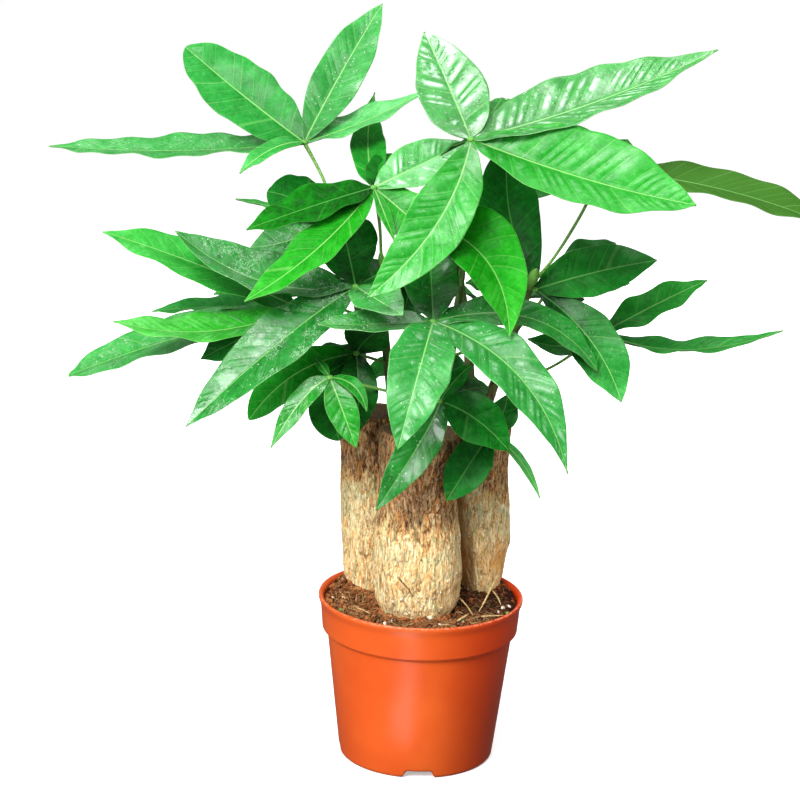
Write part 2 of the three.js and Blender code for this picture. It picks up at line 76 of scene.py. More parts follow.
def smooth(low, high, value):
    # The S-shaped step from 0 at low to 1 at high, or from 1 to 0 where low is the larger.
    share = np.clip((value - low) / (high - low), 0, 1)
    return share * share * (3 - 2 * share)


def bell(value, width):
    # A bell curve: 1 where the value is 0, and about a third of that a width away.
    return np.exp(-(value / width) ** 2)


def latticeNoise(u, v, cellsU, cellsV, seed):
    # Random numbers on a lattice that closes on itself along u, blended smoothly in between.
    lattice = np.random.default_rng(seed).random((cellsU, cellsV + 2))
    x = np.mod(u, 1) * cellsU
    y = np.clip(v, 0, 0.9999) * cellsV
    i = np.floor(x).astype(int) % cellsU
    j = np.floor(y).astype(int)
    a = smooth(0, 1, x - np.floor(x))
    b = smooth(0, 1, y - j)
    left, right = [lattice[k, j] * (1 - b) + lattice[k, j + 1] * b for k in (i, (i + 1) % cellsU)]
    return left * (1 - a) + right * a


def seen(reading):
    # A reading (right, up, back) of the crown: the point on the upright plane through the pot's
    # axis, slid along the eye's sight line to the given depth behind that plane.
    eye = np.array(camera["eye"])
    right, up, back = reading
    return (np.array([right, 0.0, up]) - eye) * (back - eye[1]) / -eye[1] + eye


def smoothRoute(points, stepsEach=24):
    # A curve through all the points whose speed follows the square root of their spacing.
    points = np.array(points, float)
    padded = np.vstack([2 * points[0] - points[1], points, 2 * points[-1] - points[-2]])
    spans = np.linalg.norm(np.diff(padded, axis=0), axis=1) ** 0.5
    share = np.linspace(0, 1, stepsEach, endpoint=False)[:, None]
    pieces = []
    for k in range(len(points) - 1):
        p0, p1, p2, p3 = padded[k:k + 4]
        d0, d1, d2 = spans[k:k + 3]
        leave = ((p1 - p0) / d0 - (p2 - p0) / (d0 + d1) + (p2 - p1) / d1) * d1
        arrive = ((p2 - p1) / d1 - (p3 - p1) / (d1 + d2) + (p3 - p2) / d2) * d1
        second = -3 * p1 + 3 * p2 - 2 * leave - arrive
        third = 2 * p1 - 2 * p2 + leave + arrive
        pieces.append(p1 + leave * share + second * share ** 2 + third * share ** 3)
    return np.vstack(pieces + [points[-1:]])


def lengthsAlong(route):
    return np.concatenate([[0], np.cumsum(np.linalg.norm(np.diff(route, axis=0), axis=1))])


def atShares(route, shares):
    # Points at the given shares of a route's length.
    lengths = lengthsAlong(route)
    wanted = np.asarray(shares) * lengths[-1]
    return np.stack([np.interp(wanted, lengths, route[:, k]) for k in range(3)], -1)


def turns(count):
    # Angles spread evenly round a circle.
    return np.linspace(0, 2 * math.pi, count, endpoint=False)


def turned(radius, turn, z, x=0.0, y=0.0):
    # Points at a radius and a turn round the upright axis through x and y, at height z.
    across = x + radius * np.cos(turn)
    back = y + radius * np.sin(turn)
    return np.stack(np.broadcast_arrays(across, back, z), -1)


def rodPoints(centres, radii, sides):
    # Circles of the given radii, each square to the route of centres.
    along = unit(np.gradient(centres, axis=0))
    guide = np.eye(3)[np.argmin(np.abs(along).max(0))]
    side = unit(np.cross(along, guide))
    top = np.cross(side, along)
    turn = turns(sides)[None, :, None]
    circle = side[:, None] * np.sin(turn) + top[:, None] * np.cos(turn)
    return centres[:, None] + circle * np.asarray(radii)[:, None, None]


def newObject(name, data):
    thing = bpy.data.objects.new(name, data)
    bpy.context.scene.collection.objects.link(thing)
    return thing


class Build:
    # Collects surfaces, with their named values at each point, and makes one mesh of them.

    def __init__(self, *valueNames):
        self.points, self.corners, self.sizes = [], [], []
        self.values = {name: [] for name in valueNames}
        self.count = 0

    def add(self, points, closed=True, **values):
        # Points are rows of closed rings, or many shapes of such rows. Quads lie between the rows,
        # and where the shape is closed a many-sided face ends it on both sides. A value is a number
        # or spreads over the points.
        rows, around = points.shape[-3:-1]
        i, j = np.meshgrid(np.arange(rows - 1), np.arange(around), indexing="ij")
        a = i * around + j
        b = i * around + (j + 1) % around
        quads = np.stack([a, b, b + around, a + around], -1).reshape(-1, 4)
        ends = [np.arange(around)[::-1][None], ((rows - 1) * around + np.arange(around))[None]]
        starts = self.count + np.arange(0, points[..., 0].size, rows * around)[:, None, None]
        for face in [quads] + ends * closed:
            self.corners.append((face + starts).ravel())
            self.sizes.append(np.full(len(starts) * len(face), face.shape[1]))
        for name, store in self.values.items():
            store.append(np.broadcast_to(values.get(name, 0.0), points.shape[:-1]).ravel())
        self.points.append(points.reshape(-1, 3))
        self.count += len(self.points[-1])

    def loose(self, name):
        corners = np.concatenate(self.corners)
        sizes = np.concatenate(self.sizes)
        mesh = bpy.data.meshes.new(name)
        mesh.vertices.add(self.count)
        mesh.vertices.foreach_set("co", (np.vstack(self.points) * mm).ravel())
        mesh.loops.add(len(corners))
        mesh.loops.foreach_set("vertex_index", corners)
        mesh.polygons.add(len(sizes))
        mesh.polygons.foreach_set("loop_start", np.concatenate([[0], np.cumsum(sizes)[:-1]]))
        mesh.polygons.foreach_set("use_smooth", np.ones(len(sizes), bool))
        mesh.update(calc_edges=True)
        for valueName, store in self.values.items():
            attribute = mesh.attributes.new(valueName, "FLOAT", "POINT")
            attribute.data.foreach_set("value", np.concatenate(store))
        return newObject(name, mesh)

    def piece(self, name, material, node):
        thing = self.loose(name)
        thing.data.materials.append(material)
        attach(thing, "root")
        if node:
            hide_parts(node)
        return thing


# Materials. A term is an output of a shader node, and the functions below make new terms from it.

class Term:
    # Sums, differences and products with terms or numbers add Math nodes.

    def __init__(self, tree, socket):
        self.tree, self.socket = tree, socket

    def math(self, operation, first, second=0.0):
        return addNode(self.tree, "Math", {0: first, 1: second}, operation=operation)

    def __add__(self, other):
        return self.math("ADD", self, other)

    def __sub__(self, other):
        return self.math("SUBTRACT", self, other)

    def __rsub__(self, other):
        return self.math("SUBTRACT", other, self)

    def __mul__(self, other):
        return self.math("MULTIPLY", self, other)

    def __abs__(self):
        return self.math("ABSOLUTE", self)

    def fraction(self):
        return self.math("FRACT", self)


def addNode(tree, kind, inputs, out=0, **settings):
    # A node whose inputs, by name or number, are linked to terms or set to plain values.
    made = tree.nodes.new("ShaderNode" + kind)
    for setting, item in settings.items():
        setattr(made, setting, item)
    for name, item in inputs.items():
        if isinstance(item, Term):
            tree.links.new(item.socket, made.inputs[name])
        else:
            made.inputs[name].default_value = item
    return Term(tree, made.outputs[out])


def step(source, low, high, lowTo=0.0, highTo=1.0):
    # The S-shaped step from lowTo at low to highTo at high.
    inputs = {0: source, 1: low, 2: high, 3: lowTo, 4: highTo}
    return addNode(source.tree, "MapRange", inputs, interpolation_type="SMOOTHSTEP")


def blend(share, first, second):
    # The first colour where the share is 0 and the second where it is 1.
    first, second = [item if isinstance(item, Term) else (*item, 1) for item in (first, second)]
    return addNode(share.tree, "Mix", {0: share, 6: first, 7: second}, 2, data_type="RGBA")


def ramp(source, stops):
    # Colours along the source's value, from pairs of a value and its colour.
    colour = addNode(source.tree, "ValToRGB", {0: source})
    elements = colour.socket.node.color_ramp.elements
    while len(elements) < len(stops):
        elements.new(0.5)
    for element, (where, shade) in zip(elements, stops):
        element.position = where
        element.color = (*shade, 1)
    return colour


class Skin:
    # A material, with the terms that come from the piece itself. Keywords name shader sockets.

    def __init__(self, name, **constants):
        self.material = bpy.data.materials.new(name)
        self.material.use_nodes = True
        self.tree = self.material.node_tree
        self.shader = self.tree.nodes["Principled BSDF"]
        self.places = {}
        for socketName, constant in constants.items():
            self.shader.inputs[socketName.replace("_", " ")].default_value = constant

    def value(self, name):
        return addNode(self.tree, "Attribute", {}, "Fac", attribute_name=name)

    def place(self, squeeze=1):
        # The point on the piece. A squeeze under 1 draws patterns out upright.
        if squeeze not in self.places:
            point = addNode(self.tree, "TexCoord", {}, "Object")
            self.places[squeeze] = addNode(self.tree, "Mapping", {"Vector": point, "Scale": (1, 1, squeeze)})
        return self.places[squeeze]

    def noise(self, scale, detail=4, rough=0.55, warp=0, squeeze=1):
        inputs = {"Scale": scale, "Detail": detail, "Roughness": rough, "Distortion": warp}
        return addNode(self.tree, "TexNoise", {"Vector": self.place(squeeze), **inputs})

    def cells(self, scale):
        return addNode(self.tree, "TexVoronoi", {"Vector": self.place(), "Scale": scale}, "Distance")

    def finish(self, colour, height=None, relief=0.001, strength=1.0, **others):
        if height:
            inputs = {"Height": height, "Distance": relief, "Strength": strength}
            others["Normal"] = addNode(self.tree, "Bump", inputs)
        for socketName, term in {"Base_Color": colour, **others}.items():
            self.tree.links.new(term.socket, self.shader.inputs[socketName.replace("_", " ")])
        return self.material


# Pot: a moulded nursery pot with a flat lip, a shallow band, a crease and four notches in its foot.

pot = {
    "height": 106.0, "lip": 65.0, "bandTop": 63.4, "bandFoot": 62.2, "crease": 58.9, "foot": 49.5,
    "lipFoot": 101.5, "bandEdge": 84.5, "creaseHeight": 81.5, "floor": 6.0, "wall": 1.5,
    "sides": 240, "rowStep": 3.0, "dustFrom": 104.0, "dustTo": 97.0,
    "notches": 4, "notchHeight": 5.2, "notchHalfTop": 8.0, "notchHalfFoot": 10.2, "notchTurn": 2.3,
    "drains": 6, "drainRing": 30.0, "drainRadius": 3.5,
    "lit": (0.73, 0.115, 0.016), "deep": (0.64, 0.080, 0.009), "unfaded": (0.60, 0.042, 0.003),
    "wornAndHighlight": (0.95, 0.42, 0.24), "dust": (0.16, 0.07, 0.035),
}


def makePotMaterial():
    skin = Skin("terracottaPlastic", Roughness=0.33, Specular_IOR_Level=0.38)
    cloud = skin.noise(16, 3)
    colour = blend(step(cloud, 0.3, 0.75), pot["deep"], pot["lit"])
    # Painted shade: towards the right side the colour turns to a deeper red, which stands in for the shade
    # that falls there.
    sideways = addNode(skin.tree, "SeparateXYZ", {"Vector": skin.place()}, "X")
    colour = blend(step(sideways, 0.005, 0.048, 0.0, 0.85), colour, pot["unfaded"])
    # Paler wear on the foot and the lip's edge; on the lip's edge the pale colour is also a painted
    # highlight.
    wornAndHighlight = skin.value("wear") * step(skin.noise(480, 5), 0.44, 0.60)
    colour = blend(wornAndHighlight * 0.6, colour, pot["wornAndHighlight"])
    dust = skin.value("dust") * step(skin.noise(420, 6, 0.7), 0.5, 0.68)
    colour = blend(dust * 0.6, colour, pot["dust"])
    rough = skin.noise(90, 3, squeeze=9) * 0.12 + 0.30 + dust * 0.4
    height = skin.noise(900, 3) + cloud * 2.0
    return skin.finish(colour, height, 0.00006, 0.6, Roughness=rough)


def potProfile():
    # Radius and height from the middle of the underside, round the outside and down the inside.
    foot, crease, lip, wall = pot["foot"], pot["crease"], pot["lip"], pot["wall"]
    bandFoot, bandTop, top = pot["bandFoot"], pot["bandTop"], pot["height"]
    floor, edge, lipFoot, creaseHeight = pot["floor"], pot["bandEdge"], pot["lipFoot"], pot["creaseHeight"]
    outside = [
        (0, floor), (20, floor), (40, floor), (foot - 4.5, floor), (foot - 4.25, floor - 0.8),
        (foot - 4.1, 0.5), (foot - 3.7, 0), (foot - 1.9, 0), (foot - 1.1, 0.35), (foot - 0.5, 1.1),
        (foot - 0.1, 2.2), (foot + 0.1, 4.0), (crease, creaseHeight), (crease + 0.2, creaseHeight + 0.5),
        (bandFoot - 0.7, edge - 0.55), (bandFoot - 0.15, edge - 0.2), (bandFoot, edge + 0.35),
        (bandTop - 0.1, lipFoot - 3.5), (bandTop + 0.2, lipFoot - 1.6), (lip - 0.8, lipFoot + 0.3),
        (lip - 0.25, lipFoot + 1.6), (lip, lipFoot + 2.8), (lip, top - 0.9), (lip - 0.25, top - 0.25),
        (lip - 0.8, top), (lip - 1.5, top), (lip - 2.1, top - 0.5),
    ]
    inside = [
        (bandTop - wall - 0.1, top - 1.8), (bandTop - wall, lipFoot), (bandFoot - wall, edge + 0.6),
        (bandFoot - wall - 0.4, edge), (crease - wall + 0.2, creaseHeight + 0.8),
        (crease - wall, creaseHeight - 0.2), (foot - 0.8, floor + 3), (foot - 2.2, floor + wall + 0.15),
        (foot - 4, floor + wall), (40, floor + wall), (20, floor + wall), (0, floor + wall),
    ]
    return np.array(outside + inside), len(outside) - 1


def cutDrains(shell):
    # Round holes through the floor, cut out with short upright rods.
    rods = Build()
    for turn in turns(pot["drains"]) + math.pi / pot["drains"]:
        centres = turned(pot["drainRing"], turn, np.array([3.0, 7.0, 11.0]))
        rods.add(rodPoints(centres, np.full(3, pot["drainRadius"]), 24))
    cutter = rods.loose("drain_rods")
    modifier = shell.modifiers.new("drains", "BOOLEAN")
    modifier.operation = "DIFFERENCE"
    modifier.object = cutter
    solved = shell.evaluated_get(bpy.context.evaluated_depsgraph_get())
    cut = bpy.data.meshes.new_from_object(solved)
    shell.modifiers.clear()
    shell.data = cut
    bpy.data.objects.remove(cutter)


def makePot():
    # The profile is turned round the axis. Near the foot each point is lifted to the notch's edge:
    # flat over the notch's top, and falling straight to the ground at its slanted sides.
    profile, innerLip = potProfile()
    lengths = lengthsAlong(profile)
    rows = np.unique(np.concatenate([lengths, np.arange(0, lengths[-1], pot["rowStep"])]))
    radius = np.interp(rows, lengths, profile[:, 0])[:, None]
    height = np.interp(rows, lengths, profile[:, 1])[:, None]
    turn = turns(pot["sides"])[None]
    quarter = 2 * math.pi / pot["notches"]
    away = np.abs((turn - math.radians(pot["notchTurn"]) + quarter / 2) % quarter - quarter / 2)
    sideways = np.maximum(radius, 40) * np.sin(away)
    lift = (pot["notchHalfFoot"] - sideways) / (pot["notchHalfFoot"] - pot["notchHalfTop"])
    lift = np.clip(lift, 0, 1) * pot["notchHeight"]
    z = np.maximum(height, np.where(radius > 44, lift, 0))
    sag = 0.12 * np.sin(3 * turn + 0.6) * smooth(30, 100, height)
    points = turned(np.where(radius > 40, radius + sag, radius), turn, z)
    # The lip's edge and the foot get paler wear, and on the lip's edge it is also a painted highlight.
    lipEdge = bell(radius - pot["lip"] + 0.5, 0.6) * smooth(-1.6, -0.3, height - pot["height"])
    foot = 0.5 * bell(height, 1.2) * (radius > pot["foot"] - 4)
    inside = (rows > lengths[innerLip])[:, None]
    dust = 0.9 * inside * smooth(pot["dustFrom"], pot["dustTo"], height)
    build = Build("wear", "dust")
    build.add(points, False, wear=np.clip(lipEdge + foot, 0, 1), dust=dust)
    cutDrains(build.piece("pot_shell", makePotMaterial(), "pot"))


# Trunks: the same columns as the solids, with fissured bark and a sawn top. pale is the heights
# between which the pale bark gives way to brown, and tan is how much orange lies over it.

trunks = {
    "trunk_front": {
        "foot": (-1.2, -11.2), "head": (-4.4, -10.7), "turn": 0.4, "seed": 11,
        "radii": [(60, 15), (84, 17.5), (97, 22), (109, 25.8), (125, 27.4), (145, 26.4), (168, 24),
                  (217, 25)],
        "pale": (121, 184), "tan": 0.24,
        # A thin dry twig that lies on the bark, as readings (right, up).
        "twig": [(-14, 128), (-11.5, 125.5), (-8.5, 122.5), (-6.5, 119.5), (-5.2, 117)],
        # Pale scraps that cling to the bark, as readings (right, up) and half sizes.
        "scraps": [(6.1, 101.8, 1.9), (16.1, 125.7, 1.1), (21.1, 129.2, 1.3), (20.4, 137.0, 0.9),
                   (-9.0, 104.5, 1.0), (12.5, 108.0, 0.9), (18.6, 147.5, 0.9), (2.0, 112.0, 0.8)],
    },
    "trunk_left": {
        "foot": (-28.5, 25.5), "head": (-35, 31.5), "turn": 2.1, "seed": 23,
        "radii": [(60, 12), (82, 14.5), (99, 18), (116, 20.1), (145, 21.1), (175, 20.5), (217, 21.5)],
        "pale": (150, 202), "tan": 0.30, "knot": ((-39.5, 208.5, 8), (4.6, 3.2, 3.6)),
    },
    "trunk_right": {
        "foot": (41, 22), "head": (34.5, 28), "turn": 4.4, "seed": 37,
        "radii": [(60, 5), (84, 8.5), (101, 12.5), (120, 15), (138, 18.4), (154, 18.6), (184, 17.4),
                  (217, 19.5)],
        "pale": (142, 192), "tan": 1.0, "paintedShadeTurn": 3.88,  # the turn of a streak of painted shade on the side that faces the front trunk
    },
}

bark = {
    "foot": 60.0, "bare": 94.0, "top": 217.0, "rows": 200, "sides": 256,
    "flakes": 120, "flakeFoot": 104, "flakeReach": 90, "tanHeight": 124, "tanReach": 42,
    # The rings of the sawn top, as shares of its radius.
    "sawn": [0.93, 0.8, 0.62, 0.42, 0.22, 0.08],
}

barkColours = {
    # values of the grain and their colours
    "brown": [(0.40, (0.075, 0.026, 0.012)), (0.48, (0.30, 0.13, 0.055)), (0.55, (0.52, 0.29, 0.135)),
              (0.64, (0.72, 0.50, 0.28))],
    "ochre": [(0.38, (0.34, 0.11, 0.032)), (0.47, (0.74, 0.43, 0.16)), (0.58, (0.90, 0.73, 0.37))],
    "cream": [(0.37, (0.40, 0.19, 0.06)), (0.44, (0.80, 0.55, 0.24)), (0.50, (0.90, 0.73, 0.37)),
              (0.60, (0.98, 0.93, 0.62))],
    "knot": [(0.40, (0.56, 0.28, 0.09)), (0.58, (0.90, 0.60, 0.28))],
    "flake": [(0.35, (0.62, 0.48, 0.28)), (0.6, (1.0, 0.93, 0.76))],
    "sawn": [(0.10, 0.055, 0.028), (0.24, 0.15, 0.08)],
    "moss": (0.50, 0.53, 0.24), "orange": (0.79, 0.37, 0.085),
    "thread": (0.26, 0.09, 0.03), "crack": (0.16, 0.07, 0.025),
}


def radiusAt(trunk, z):
    # Between the given heights the radius eases from one to the next.
    heights, values = np.array(trunk["radii"], float).T
    k = np.clip(np.searchsorted(heights, z) - 1, 0, len(heights) - 2)
    share = smooth(0, 1, (z - heights[k]) / (heights[k + 1] - heights[k]))
    return values[k] * (1 - share) + values[k + 1] * share


def makeBarkMaterial():
    # Three barks, brown above, ochre between and cream below, that run into each other in blotches.
    # All of them are drawn out upright, and hue turns narrow stripes of them green-grey or orange.
    shade = barkColours
    skin = Skin("fissuredBark", Roughness=0.85, Specular_IOR_Level=0.2)
    streaks = skin.noise(620, 3, 0.6, 0.4, squeeze=0.22)
    fine = skin.noise(1100, 2, 0.6, squeeze=0.45)
    blotch = skin.noise(80, 5, 0.65, 0.8, squeeze=0.5)
    hue = skin.noise(420, 3, 0.6, squeeze=0.25)
    thread = step(abs(skin.noise(260, 4, 0.6, 0.5, squeeze=0.16) - 0.5), 0.003, 0.018, 1.0, 0.0)
    grain = streaks * 0.6 + fine * 0.4
    pale = skin.value("pale") + ((blotch - 0.5) * 1.2 + (streaks - 0.5) * 0.7)
    brown, ochre, cream = [ramp(grain, shade[name]) for name in ("brown", "ochre", "cream")]
    colour = blend(step(pale, 0.22, 0.46), brown, ochre)
    colour = blend(step(pale, 0.46, 0.74), colour, cream)
    mossy = step(hue, 0.52, 0.62, 0.0, 0.6) * step(pale, 0.0, 0.6, 0.55, 1.0)
    colour = blend(mossy, colour, shade["moss"])
    colour = blend(step(hue, 0.36, 0.46, 0.62, 0.0), colour, shade["orange"])
    tan = step(skin.noise(50, 4, 0.6), 0.34, 0.60, 0.5, 1.0) * skin.value("tan")
    colour = blend(tan * 0.9, colour, shade["orange"])
    colour = blend(thread * 0.55, colour, shade["thread"])
    # The crack value darkens the real cracks, and on the right trunk also a streak of painted shade.
    colour = blend(skin.value("crack") * 0.7, colour, shade["crack"])
    colour = blend(skin.value("sawn"), colour, blend(step(fine, 0.4, 0.6), *shade["sawn"]))
    colour = blend(skin.value("knot"), colour, ramp(fine, shade["knot"]))
    colour = blend(skin.value("flake"), colour, ramp(fine, shade["flake"]))
    return skin.finish(colour, streaks + fine * 0.6 - thread * 0.3, 0.0009, 1.0)


def barkShell(trunk, angle, z, share):
    # The solid's circle with its slow swell, and the bark's relief on it: long lumps, narrow upright
    # plates parted by cracks where the ridged noise is near its crest, and small flakes.
    turn, seed = trunk["turn"], trunk["seed"]
    swell = 0.035 * np.sin(2 * angle + turn + z * 0.012) + 0.02 * np.sin(5 * angle - turn)
    fissure = 0.012 * np.sin(11 * angle + 3 * turn + 1.5 * np.sin(z * 0.06))
    u, v = angle / (2 * math.pi), share + 0 * angle
    drift = 0.02 * (latticeNoise(u, v, 9, 9, seed) - 0.5)
    plate = 1 - np.abs(2 * latticeNoise(u + drift, v, 66, 15, seed + 1) - 1)
    thread = 1 - np.abs(2 * latticeNoise(u + 2 * drift, v, 110, 30, seed + 2) - 1)
    flake = latticeNoise(u, v, 124, 110, seed + 3)
    parted = smooth(0.35, 0.75, latticeNoise(u, v, 14, 10, seed + 4))
    cracks = np.clip(smooth(0.84, 0.99, plate) * parted + 0.5 * smooth(0.86, 1.0, thread), 0, 1)
    lump = latticeNoise(u, v, 6, 7, seed + 6) - 0.5
    relief = 0.5 * (0.5 - plate) + 0.35 * (0.5 - thread) + 0.4 * (flake - 0.5) + 1.2 * lump - 0.6 * cracks
    radius = radiusAt(trunk, z) * (1 + swell + fissure) + relief - 0.2
    return radius, cracks


def trunkCentre(trunk, share):
    return [foot + (head - foot) * share for foot, head in zip(trunk["foot"], trunk["head"])]


def shareOf(z):
    # How far up a trunk a height lies, from 0 at its foot to 1 at its cut top.
    return (z - bark["foot"]) / (bark["top"] - bark["foot"])


def makeTrunks(material):
    # Rings are far apart in the soil and close above it. The sawn top closes in a few rings.
    angle = turns(bark["sides"])[None]
    bare = shareOf(bark["bare"])
    share = np.concatenate([np.linspace(0, bare, 6)[:-1], np.linspace(bare, 1, bark["rows"])])[:, None]
    side = bark["foot"] + (bark["top"] - bark["foot"]) * share
    shrink = np.array(bark["sawn"])[:, None]
    sawMark = 0.35 * np.sin(angle * 3 + shrink * 9) * (1 - shrink) - 0.5 * (shrink > 0.9)
    z = np.vstack([side + 0 * angle, bark["top"] + sawMark - 0.2])

    def capped(values, onTop):
        return np.vstack([values, np.full((len(shrink), values.shape[1]), onTop)])

    for name, trunk in trunks.items():
        radius, cracks = barkShell(trunk, angle, side, share)
        radius = radius - 1.6 * smooth(0.985, 1.0, share)
        u, v = angle / (2 * math.pi), share + 0 * angle
        drift = 18 * (latticeNoise(u, v, 10, 7, trunk["seed"] + 5) - 0.5)
        paleness = 1 - smooth(*trunk["pale"], side + drift)
        faded = np.abs(side - bark["tanHeight"]) / bark["tanReach"]
        faded = faded + 0.5 * latticeNoise(u, v, 7, 6, trunk["seed"] + 7)
        # Painted shade: a dark streak on the side that faces the front trunk, carried with the cracks'
        # darkening.
        if "paintedShadeTurn" in trunk:
            cracks = np.maximum(cracks, smooth(0.80, 0.97, np.cos(angle - trunk["paintedShadeTurn"]) + 0.1 * drift / 9))
        radius = np.vstack([radius, radius[-1:] * shrink])
        points = turned(radius, angle, z, *trunkCentre(trunk, capped(share, 1.0)))
        build = Build("pale", "crack", "sawn", "knot", "tan", "flake")
        build.add(points, pale=capped(paleness, 0.5), crack=capped(cracks, 0.0),
                  sawn=capped(0 * cracks, 1.0), tan=capped(trunk["tan"] * smooth(1.0, 0.2, faded), 0.0))
        addFlakes(build, trunk)
        if "knot" in trunk:
            addKnot(build, *trunk["knot"])
        if "twig" in trunk:
            addTwig(build, trunk)
            addScraps(build, trunk)
        build.piece(name + "_bark", material, name)


def addFlakes(build, trunk):
    # Loose chips of bark: flat little lumps, tipped at random, that sit in the lower shell.
    random = np.random.default_rng(trunk["seed"] + 50)
    count = bark["flakes"]
    angle = random.random(count) * 2 * math.pi
    z = bark["flakeFoot"] + bark["flakeReach"] * random.random(count) ** 1.6
    radius, _ = barkShell(trunk, angle, z, shareOf(z))
    spots = turned(radius, angle, z, *trunkCentre(trunk, shareOf(z)))
    size = 0.35 + 0.9 * random.random(count) ** 3
    addLumps(build, random, spots, size, turned(1.0, angle, 0.0), 0.55,
             flake=random.random(count)[:, None, None])


def onFace(trunk, right, up, out):
    # Points that lie out from the trunk's circle, on its front side, at readings (right, up).
    x, y = trunkCentre(trunk, shareOf(up))
    depth = np.sqrt((radiusAt(trunk, up) + out) ** 2 - (right - x) ** 2)
    return np.stack([right, y - depth, up], -1)


def addScraps(build, trunk):
    random = np.random.default_rng(trunk["seed"] + 80)
    right, up, size = np.array(trunk["scraps"], float).T
    out = unit(np.tile([0.0, -1.0, 0.3], (len(size), 1)))
    addLumps(build, random, onFace(trunk, right, up, 0.3), size, out, 0.5, flake=1.0)


def addTwig(build, trunk):
    right, up = np.array(trunk["twig"], float).T
    route = smoothRoute(onFace(trunk, right, up, 0.4), 4)
    radii = np.interp(np.arange(len(route)), [0, len(route) - 1], [0.5, 0.25])
    build.add(rodPoints(route, radii, 6), crack=1.0)


def addLumps(build, random, spots, size, out, flat, **values):
    # Small lumps: 6-sided balls of four rings whose corners are pushed in or out at random,
    # flattened along their out direction.
    count = len(spots)
    lift = np.array([0.35, 1.15, 1.95, 2.8])[None, :, None]
    turn = turns(6)[None, None] + random.random((count, 1, 1)) * 6
    wobble = 0.72 + 0.5 * random.random((count, 4, 6))
    stretch = 0.7 + 0.7 * random.random((count, 1, 1))
    side = unit(np.cross(out, [0.31, 0.17, 0.93]))
    a = (wobble * np.sin(lift) * np.cos(turn) * stretch)[..., None]
    b = (wobble * np.sin(lift) * np.sin(turn) / stretch)[..., None]
    c = (-wobble * np.cos(lift) * flat)[..., None]
    side, other, out = [way[:, None, None] for way in (side, np.cross(out, side), out)]
    points = (a * side + b * other + c * out) * size[:, None, None, None] + spots[:, None, None]
    build.add(points, **values)


def addKnot(build, where, size):
    # A lumpy ball: a sphere whose radius swings with both of its angles.
    lift = np.linspace(0.02, math.pi - 0.02, 18)[:, None]
    turn = turns(28)[None]
    radius = 1 + 0.10 * np.sin(3 * turn + 2 * lift) + 0.07 * np.sin(7 * turn) * np.sin(5 * lift)
    ball = turned(radius * np.sin(lift), turn, -radius * np.cos(lift))
    build.add(ball * np.array(size) + seen(where), knot=1.0, pale=0.6)


# Soil: a crumbly heap that is higher behind, with litter lying on it.

soil = {
    "level": 100.5, "mound": 7.5, "edgeRadius": 60.9, "rings": 90, "sides": 270,
    # Radius and height of the underside's points and of the wall's top, the wall's gap to the pot,
    # and the heights where the wall bends.
    "base": [(2.0, 7.9), (46.8, 7.9), (47.8, 9.6)], "brim": (61.1, 97.0), "gap": 0.35,
    "creaseBend": 81.7, "bandBend": 84.9,
    "peat": [(0.40, (0.034, 0.010, 0.004)), (0.50, (0.24, 0.068, 0.018)), (0.68, (0.60, 0.24, 0.08))],
    "chip": (0.55, 0.42, 0.25), "damp": (0.034, 0.010, 0.004),
}

litter = {
    "seed": 5, "reach": 57.5, "within": 57, "trunkHeight": 104.0, "trunkGap": 1.5,
    "crumbs": 1500, "crumbSize": (0.4, 1.9), "flecks": 80, "fleckSize": (0.3, 0.9),
    "greens": 5, "greenSize": (1.0, 1.8),
    "fibres": 900, "fibreLength": (2.5, 8), "fibreKinds": (0.1, 0.22, 0.24, 0.27),
    "sticks": [
        # start and end as (x, y, height above the soil), and thickness
        ((49, 2, 20), (37, -18, 1.5), 0.9), ((34, -30, 1.2), (53, -24, 1.6), 0.8),
        ((-44, -18, 1.2), (-30, -33, 1.4), 0.6), ((8, -48, 1.0), (20, -44, 1.2), 0.5),
        ((46, 8, 3), (51, -8, 1.5), 0.7), ((-52, 6, 1.2), (-47, -9, 1.4), 0.6),
        ((24, -14, 8), (33, -24, 1.5), 0.6), ((22, -40, 1.2), (30, -35, 4.5), 0.7),
    ],
    # Larger chips: x, y, half size and kind (0.8 white, 1 green)
    "chips": [
        (52, -12, 2.0, 0.8), (49, -18, 1.5, 0.8), (56, -8, 1.6, 0.8), (55, -16, 1.7, 1.0),
        (-50, -22, 1.4, 1.0), (25, -36, 1.8, 1.0), (22, -42, 1.3, 0.8), (-22, -44, 1.6, 0.8),
        (-18, -40, 1.1, 0.8), (12, -46, 1.2, 0.8),
    ],
    "crumb": [(0.35, (0.050, 0.017, 0.006)), (0.65, (0.38, 0.155, 0.055))],
    "straw": [(0.35, (0.38, 0.22, 0.08)), (0.65, (0.78, 0.60, 0.28))],
    "fleck": (0.82, 0.76, 0.66), "green": (0.20, 0.34, 0.07),
}


def soilHeight(x, y):
    heap = soil["mound"] * smooth(-20, 45, y)
    edge = 1.2 * smooth(46, 62, np.hypot(x, y))
    lumps = 0.8 * np.sin(x * 0.21 + 1) * np.cos(y * 0.17) + 0.6 * np.sin(x * 0.11 - y * 0.29)
    return soil["level"] + heap - edge + lumps


def crumble(x, y):
    # Heaped clods, crumbs and grit: three sizes of lattice noise over the disc.
    u, v = (x + 70) / 140, (y + 70) / 140
    clods, crumbs, grit = [latticeNoise(u, v, count, count, seed) - 0.5
                           for count, seed in ((26, 71), (64, 72), (120, 73))]
    return 1.6 * clods + 2.4 * crumbs + 2.0 * grit


def soilPaintedShade(x, y):
    # Painted shade: the peat is darkened between the front and the right trunk, where shade falls.
    return smooth(10, 28, x) * smooth(-36, -14, y)


